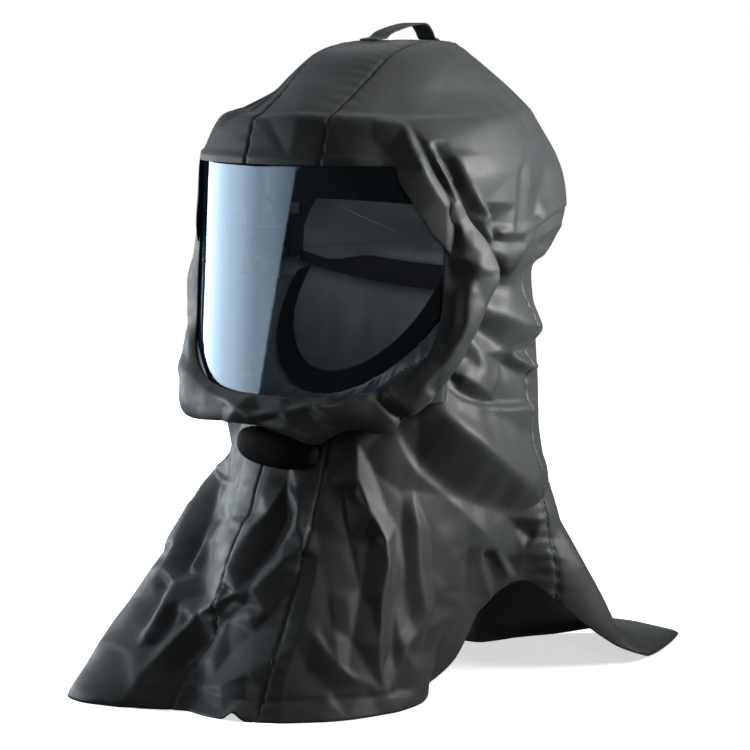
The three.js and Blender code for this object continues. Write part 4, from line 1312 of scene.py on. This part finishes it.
def face_seal():
    angles = np.linspace(SEAL["arc"], -SEAL["arc"], 400)
    bm, _ = grid_sheet(angles, np.linspace(0.01, 0.99, 18), seal_place)
    bmesh.ops.recalc_face_normals(bm, faces=bm.faces)
    piece = to_piece(bm, "face_seal_cloth", [seal_cloth])
    thicken(piece, SEAL["wall"])
    return seat(piece, "face_seal")


seal = face_seal()


def elastic_place(angle, share):
    """The elastic stands towards the chin in front, and lies back along the wearer's right cheek."""
    ring = seal_ring(angle)
    inward = np.array([0, SEAL["centre"], SEAL["z"] + ELASTIC["aim"]]) - ring
    inward /= np.linalg.norm(inward, axis=1, keepdims=True)
    back = (1 - smooth_step(ELASTIC["back_from"], ELASTIC["back_to"], angle))[:, None]
    way = inward * (1 - back) + np.array([0, 1, 0.2]) * back
    return ring + way * (ELASTIC["clear"] + ELASTIC["width"] * share)[:, None]


def seal_elastic():
    angles = np.linspace(SEAL["arc"], -SEAL["arc"], 120)
    bm, _ = grid_sheet(angles, np.linspace(0, 1, 7), elastic_place)
    bmesh.ops.recalc_face_normals(bm, faces=bm.faces)
    piece = to_piece(bm, "seal_elastic_band", [black_strap])
    thicken(piece, ELASTIC["wall"])
    return seat(piece, "seal_elastic")


seal_elastic()

for node in ("head_frame_left", "head_frame_right"):
    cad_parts[node].data.materials.clear()
    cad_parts[node].data.materials.append(black_plastic)


# Chin grip: a rounded rubber bar lying against the bib
def grip_place(longitude, latitude):
    lon, lat = np.radians(longitude), np.radians(latitude)
    ball = np.stack([np.cos(lat) * np.sin(lon), -np.cos(lat) * np.cos(lon), np.sin(lat)], axis=1)
    half = np.array([GRIP["length"], GRIP["depth"], GRIP["height"]]) / 2
    x, y, z = (np.sign(ball) * np.abs(ball) ** GRIP_ROUNDING * half).T
    tilt = math.radians(GRIP["tilt"])
    x, z = x * math.cos(tilt) + z * math.sin(tilt), z * math.cos(tilt) - x * math.sin(tilt)
    back = -reach_of(row_at(SECTIONS, row_at_height(GRIP["z"])), np.array(0.0))
    y = y + GRIP["bow"] * x * x + back - GRIP["depth"] / 2
    return np.stack([x + GRIP["x"], y, z + GRIP["z"]], axis=1)


def chin_grip():
    bm, _ = grid_sheet(np.linspace(-180, 180, 73), np.linspace(-90, 90, 37), grip_place)
    bmesh.ops.remove_doubles(bm, verts=bm.verts, dist=0.01 * MM)
    bmesh.ops.recalc_face_normals(bm, faces=bm.faces)
    return seat(to_piece(bm, "chin_grip_rubber", [black_rubber]), "chin_grip")


chin_grip()

# Handle: a loop of webbing along the top of the crown, as depth from the axis and lift above the crown
HANDLE_PATH = np.array([
    [-34, 0], [-20, 0], [-10, 4], [10, 8], [32, 11], [46, 11], [54, 6], [60, 0], [72, 0],
], float)


def crown_top(y):
    """The crown's height along its middle, at a depth from the axis."""
    rows = np.linspace(TOP_ROW, TOP_ROW - 8, 400)
    sections = row_at(SECTIONS, rows)
    centre = SECTIONS[TOP_ROW, 1]
    off = np.abs(y - centre)
    ahead = np.interp(off, reach_of(sections, np.zeros(len(rows))), sections[:, 0])
    behind = np.interp(off, reach_of(sections, np.full(len(rows), 180.0)), sections[:, 0])
    return np.where(y < centre, ahead, behind)


def handle_place(position, x):
    y, lift = row_at(HANDLE_PATH, position).T
    return np.stack([x, y, crown_top(y) + np.maximum(0, lift) + TOUCH + HANDLE["wall"]], axis=1)


def handle_strap():
    half = HANDLE["width"] / 2
    positions = np.linspace(0, len(HANDLE_PATH) - 1, 81)
    bm, _ = grid_sheet(positions, np.linspace(-half, half, 9), handle_place)
    bmesh.ops.recalc_face_normals(bm, faces=bm.faces)
    piece = to_piece(bm, "handle_strap_web", [handle_web])
    thicken(piece, HANDLE["wall"])
    return seat(piece, "handle_strap")


handle_strap()

# Stage: a pale floor, soft lights and the camera
FLOOR_HALF = 4.0
# Glow of the left softbox at its front and further back, and these two depths in metres
REFLECTOR_GLOW = dict(front=1.4, back=9.0, front_y=-2.4, back_y=-1.0)
# Lower edge of the left softbox, in mm from the axis, and how high it stands
REFLECTOR_EDGE = [
    (-860, -2390, 650), (-1770, -1820, 195), (-2350, -850, 132), (-2270, 870, 70), (-2200, 1000, 60),
]
REFLECTOR_RISE = 420


def pale_floor():
    """White ground whose glow is turned down near the hood, as painted shade round it, and which throws no
    light back on it.
    """
    material, nodes, links, shader = new_material("pale_floor")
    where = nodes.new("ShaderNodeTexCoord")
    away = nodes.new("ShaderNodeVectorMath")
    away.operation = "LENGTH"
    links.new(where.outputs["Object"], away.inputs[0])
    # Painted shade: the ground glows less within reach of the hood
    links.new(
        spread_to(nodes, links, away.outputs["Value"], 0.25, 0.6, 0.62, 1.0),
        shader.inputs["Emission Strength"],
    )
    shader.inputs["Base Color"].default_value = (0.9, 0.9, 0.9, 1)
    shader.inputs["Roughness"].default_value = 0.9
    shader.inputs["Emission Color"].default_value = (1, 1, 1, 1)
    bm = bmesh.new()
    bmesh.ops.create_grid(bm, x_segments=1, y_segments=1, size=FLOOR_HALF)
    floor = to_piece(bm, "floor", [material], smooth=False)
    floor.visible_diffuse = False
    floor.visible_glossy = False


def reflector():
    """The long softbox on the left, which the visor mirrors."""
    material, nodes, links, shader = new_material("softbox_glow")
    shader.inputs["Base Color"].default_value = (0, 0, 0, 1)
    shader.inputs["Emission Color"].default_value = (0.86, 0.94, 1, 1)
    where = nodes.new("ShaderNodeTexCoord")
    parts = nodes.new("ShaderNodeSeparateXYZ")
    links.new(where.outputs["Object"], parts.inputs["Vector"])
    glow = REFLECTOR_GLOW
    depths = glow["front_y"], glow["back_y"]
    strength = spread_to(nodes, links, parts.outputs["Y"], *depths, glow["front"], glow["back"])
    links.new(strength, shader.inputs["Emission Strength"])
    bm = bmesh.new()
    lower = [bm.verts.new(to_frame(corner)) for corner in REFLECTOR_EDGE]
    for a, b in zip(lower, lower[1:]):
        bm.edges.new((a, b))
    raised = bmesh.ops.extrude_edge_only(bm, edges=bm.edges[:])["geom"]
    verts = [item for item in raised if isinstance(item, bmesh.types.BMVert)]
    bmesh.ops.translate(bm, verts=verts, vec=(0, 0, REFLECTOR_RISE * MM))
    panel = to_piece(bm, "left_softbox", [material], smooth=False)
    panel.visible_camera = False
    panel.visible_diffuse = False


def softbox(name, azimuth, elevation, distance, size, power, colour=(1, 1, 1), aim=(0, 0, 300), spread=180):
    """A rectangular area light round the hood, aimed at a place on it."""
    turn, rise = math.radians(azimuth), math.radians(elevation)
    away = Vector((math.sin(turn) * math.cos(rise), -math.cos(turn) * math.cos(rise), math.sin(rise)))
    target = Vector(to_frame(aim))
    data = bpy.data.lights.new(name, "AREA")
    data.shape = "RECTANGLE"
    data.size, data.size_y = size
    data.energy = power
    data.color = colour
    data.spread = math.radians(spread)
    light = bpy.data.objects.new(name, data)
    light.location = target + away * distance
    light.rotation_euler = (-away).to_track_quat("-Z", "Y").to_euler()
    bpy.context.scene.collection.objects.link(light)
    return light


def surroundings(seen, lighting):
    """A white ground behind the object for the camera, and a dim grey room for the light."""
    world = bpy.data.worlds.new("studio")
    world.use_nodes = True
    nodes, links = world.node_tree.nodes, world.node_tree.links
    path = nodes.new("ShaderNodeLightPath")
    strength = nodes.new("ShaderNodeMapRange")
    strength.inputs["To Min"].default_value = lighting
    strength.inputs["To Max"].default_value = seen
    links.new(path.outputs["Is Camera Ray"], strength.inputs["Value"])
    links.new(strength.outputs["Result"], nodes["Background"].inputs["Strength"])
    nodes["Background"].inputs["Color"].default_value = (1, 1, 1, 1)
    bpy.context.scene.world = world


def photo_camera():
    data = bpy.data.cameras.new("photo_view")
    data.sensor_width = SENSOR
    data.lens = VIEW["focal_px"] / IMAGE_WIDTH_PX * SENSOR
    camera = bpy.data.objects.new("photo_view", data)
    camera.location = Vector(to_frame(photo_axes()[0]))
    turn = math.radians(VIEW["azimuth"]) + math.radians(VIEW["yaw"])
    camera.rotation_euler = (math.radians(90 - VIEW["pitch"]), 0, turn)
    bpy.context.scene.collection.objects.link(camera)
    bpy.context.scene.camera = camera


pale_floor()
reflector()
surroundings(1.0, 0.06)
softbox("right_key", 110, 16, 0.8, (0.4, 0.5), 3.1, aim=(0, 0, 400), spread=80)
softbox("left_rim", -86, 26, 2.0, (0.5, 0.9), 64, (0.9, 0.96, 1.0)).visible_glossy = False
inner_glow = softbox("inner_glow", 0, 0, 0.05, (0.06, 0.06), 0.13, aim=(0, 30, 350))
inner_glow.visible_camera = inner_glow.visible_glossy = False
softbox("front_fill", 10, 10, 2.6, (1.0, 1.0), 2.0).visible_glossy = False
softbox("top", 150, 75, 2.2, (1.6, 1.6), 4)
photo_camera()
bpy.context.scene.view_settings.view_transform = "Standard"
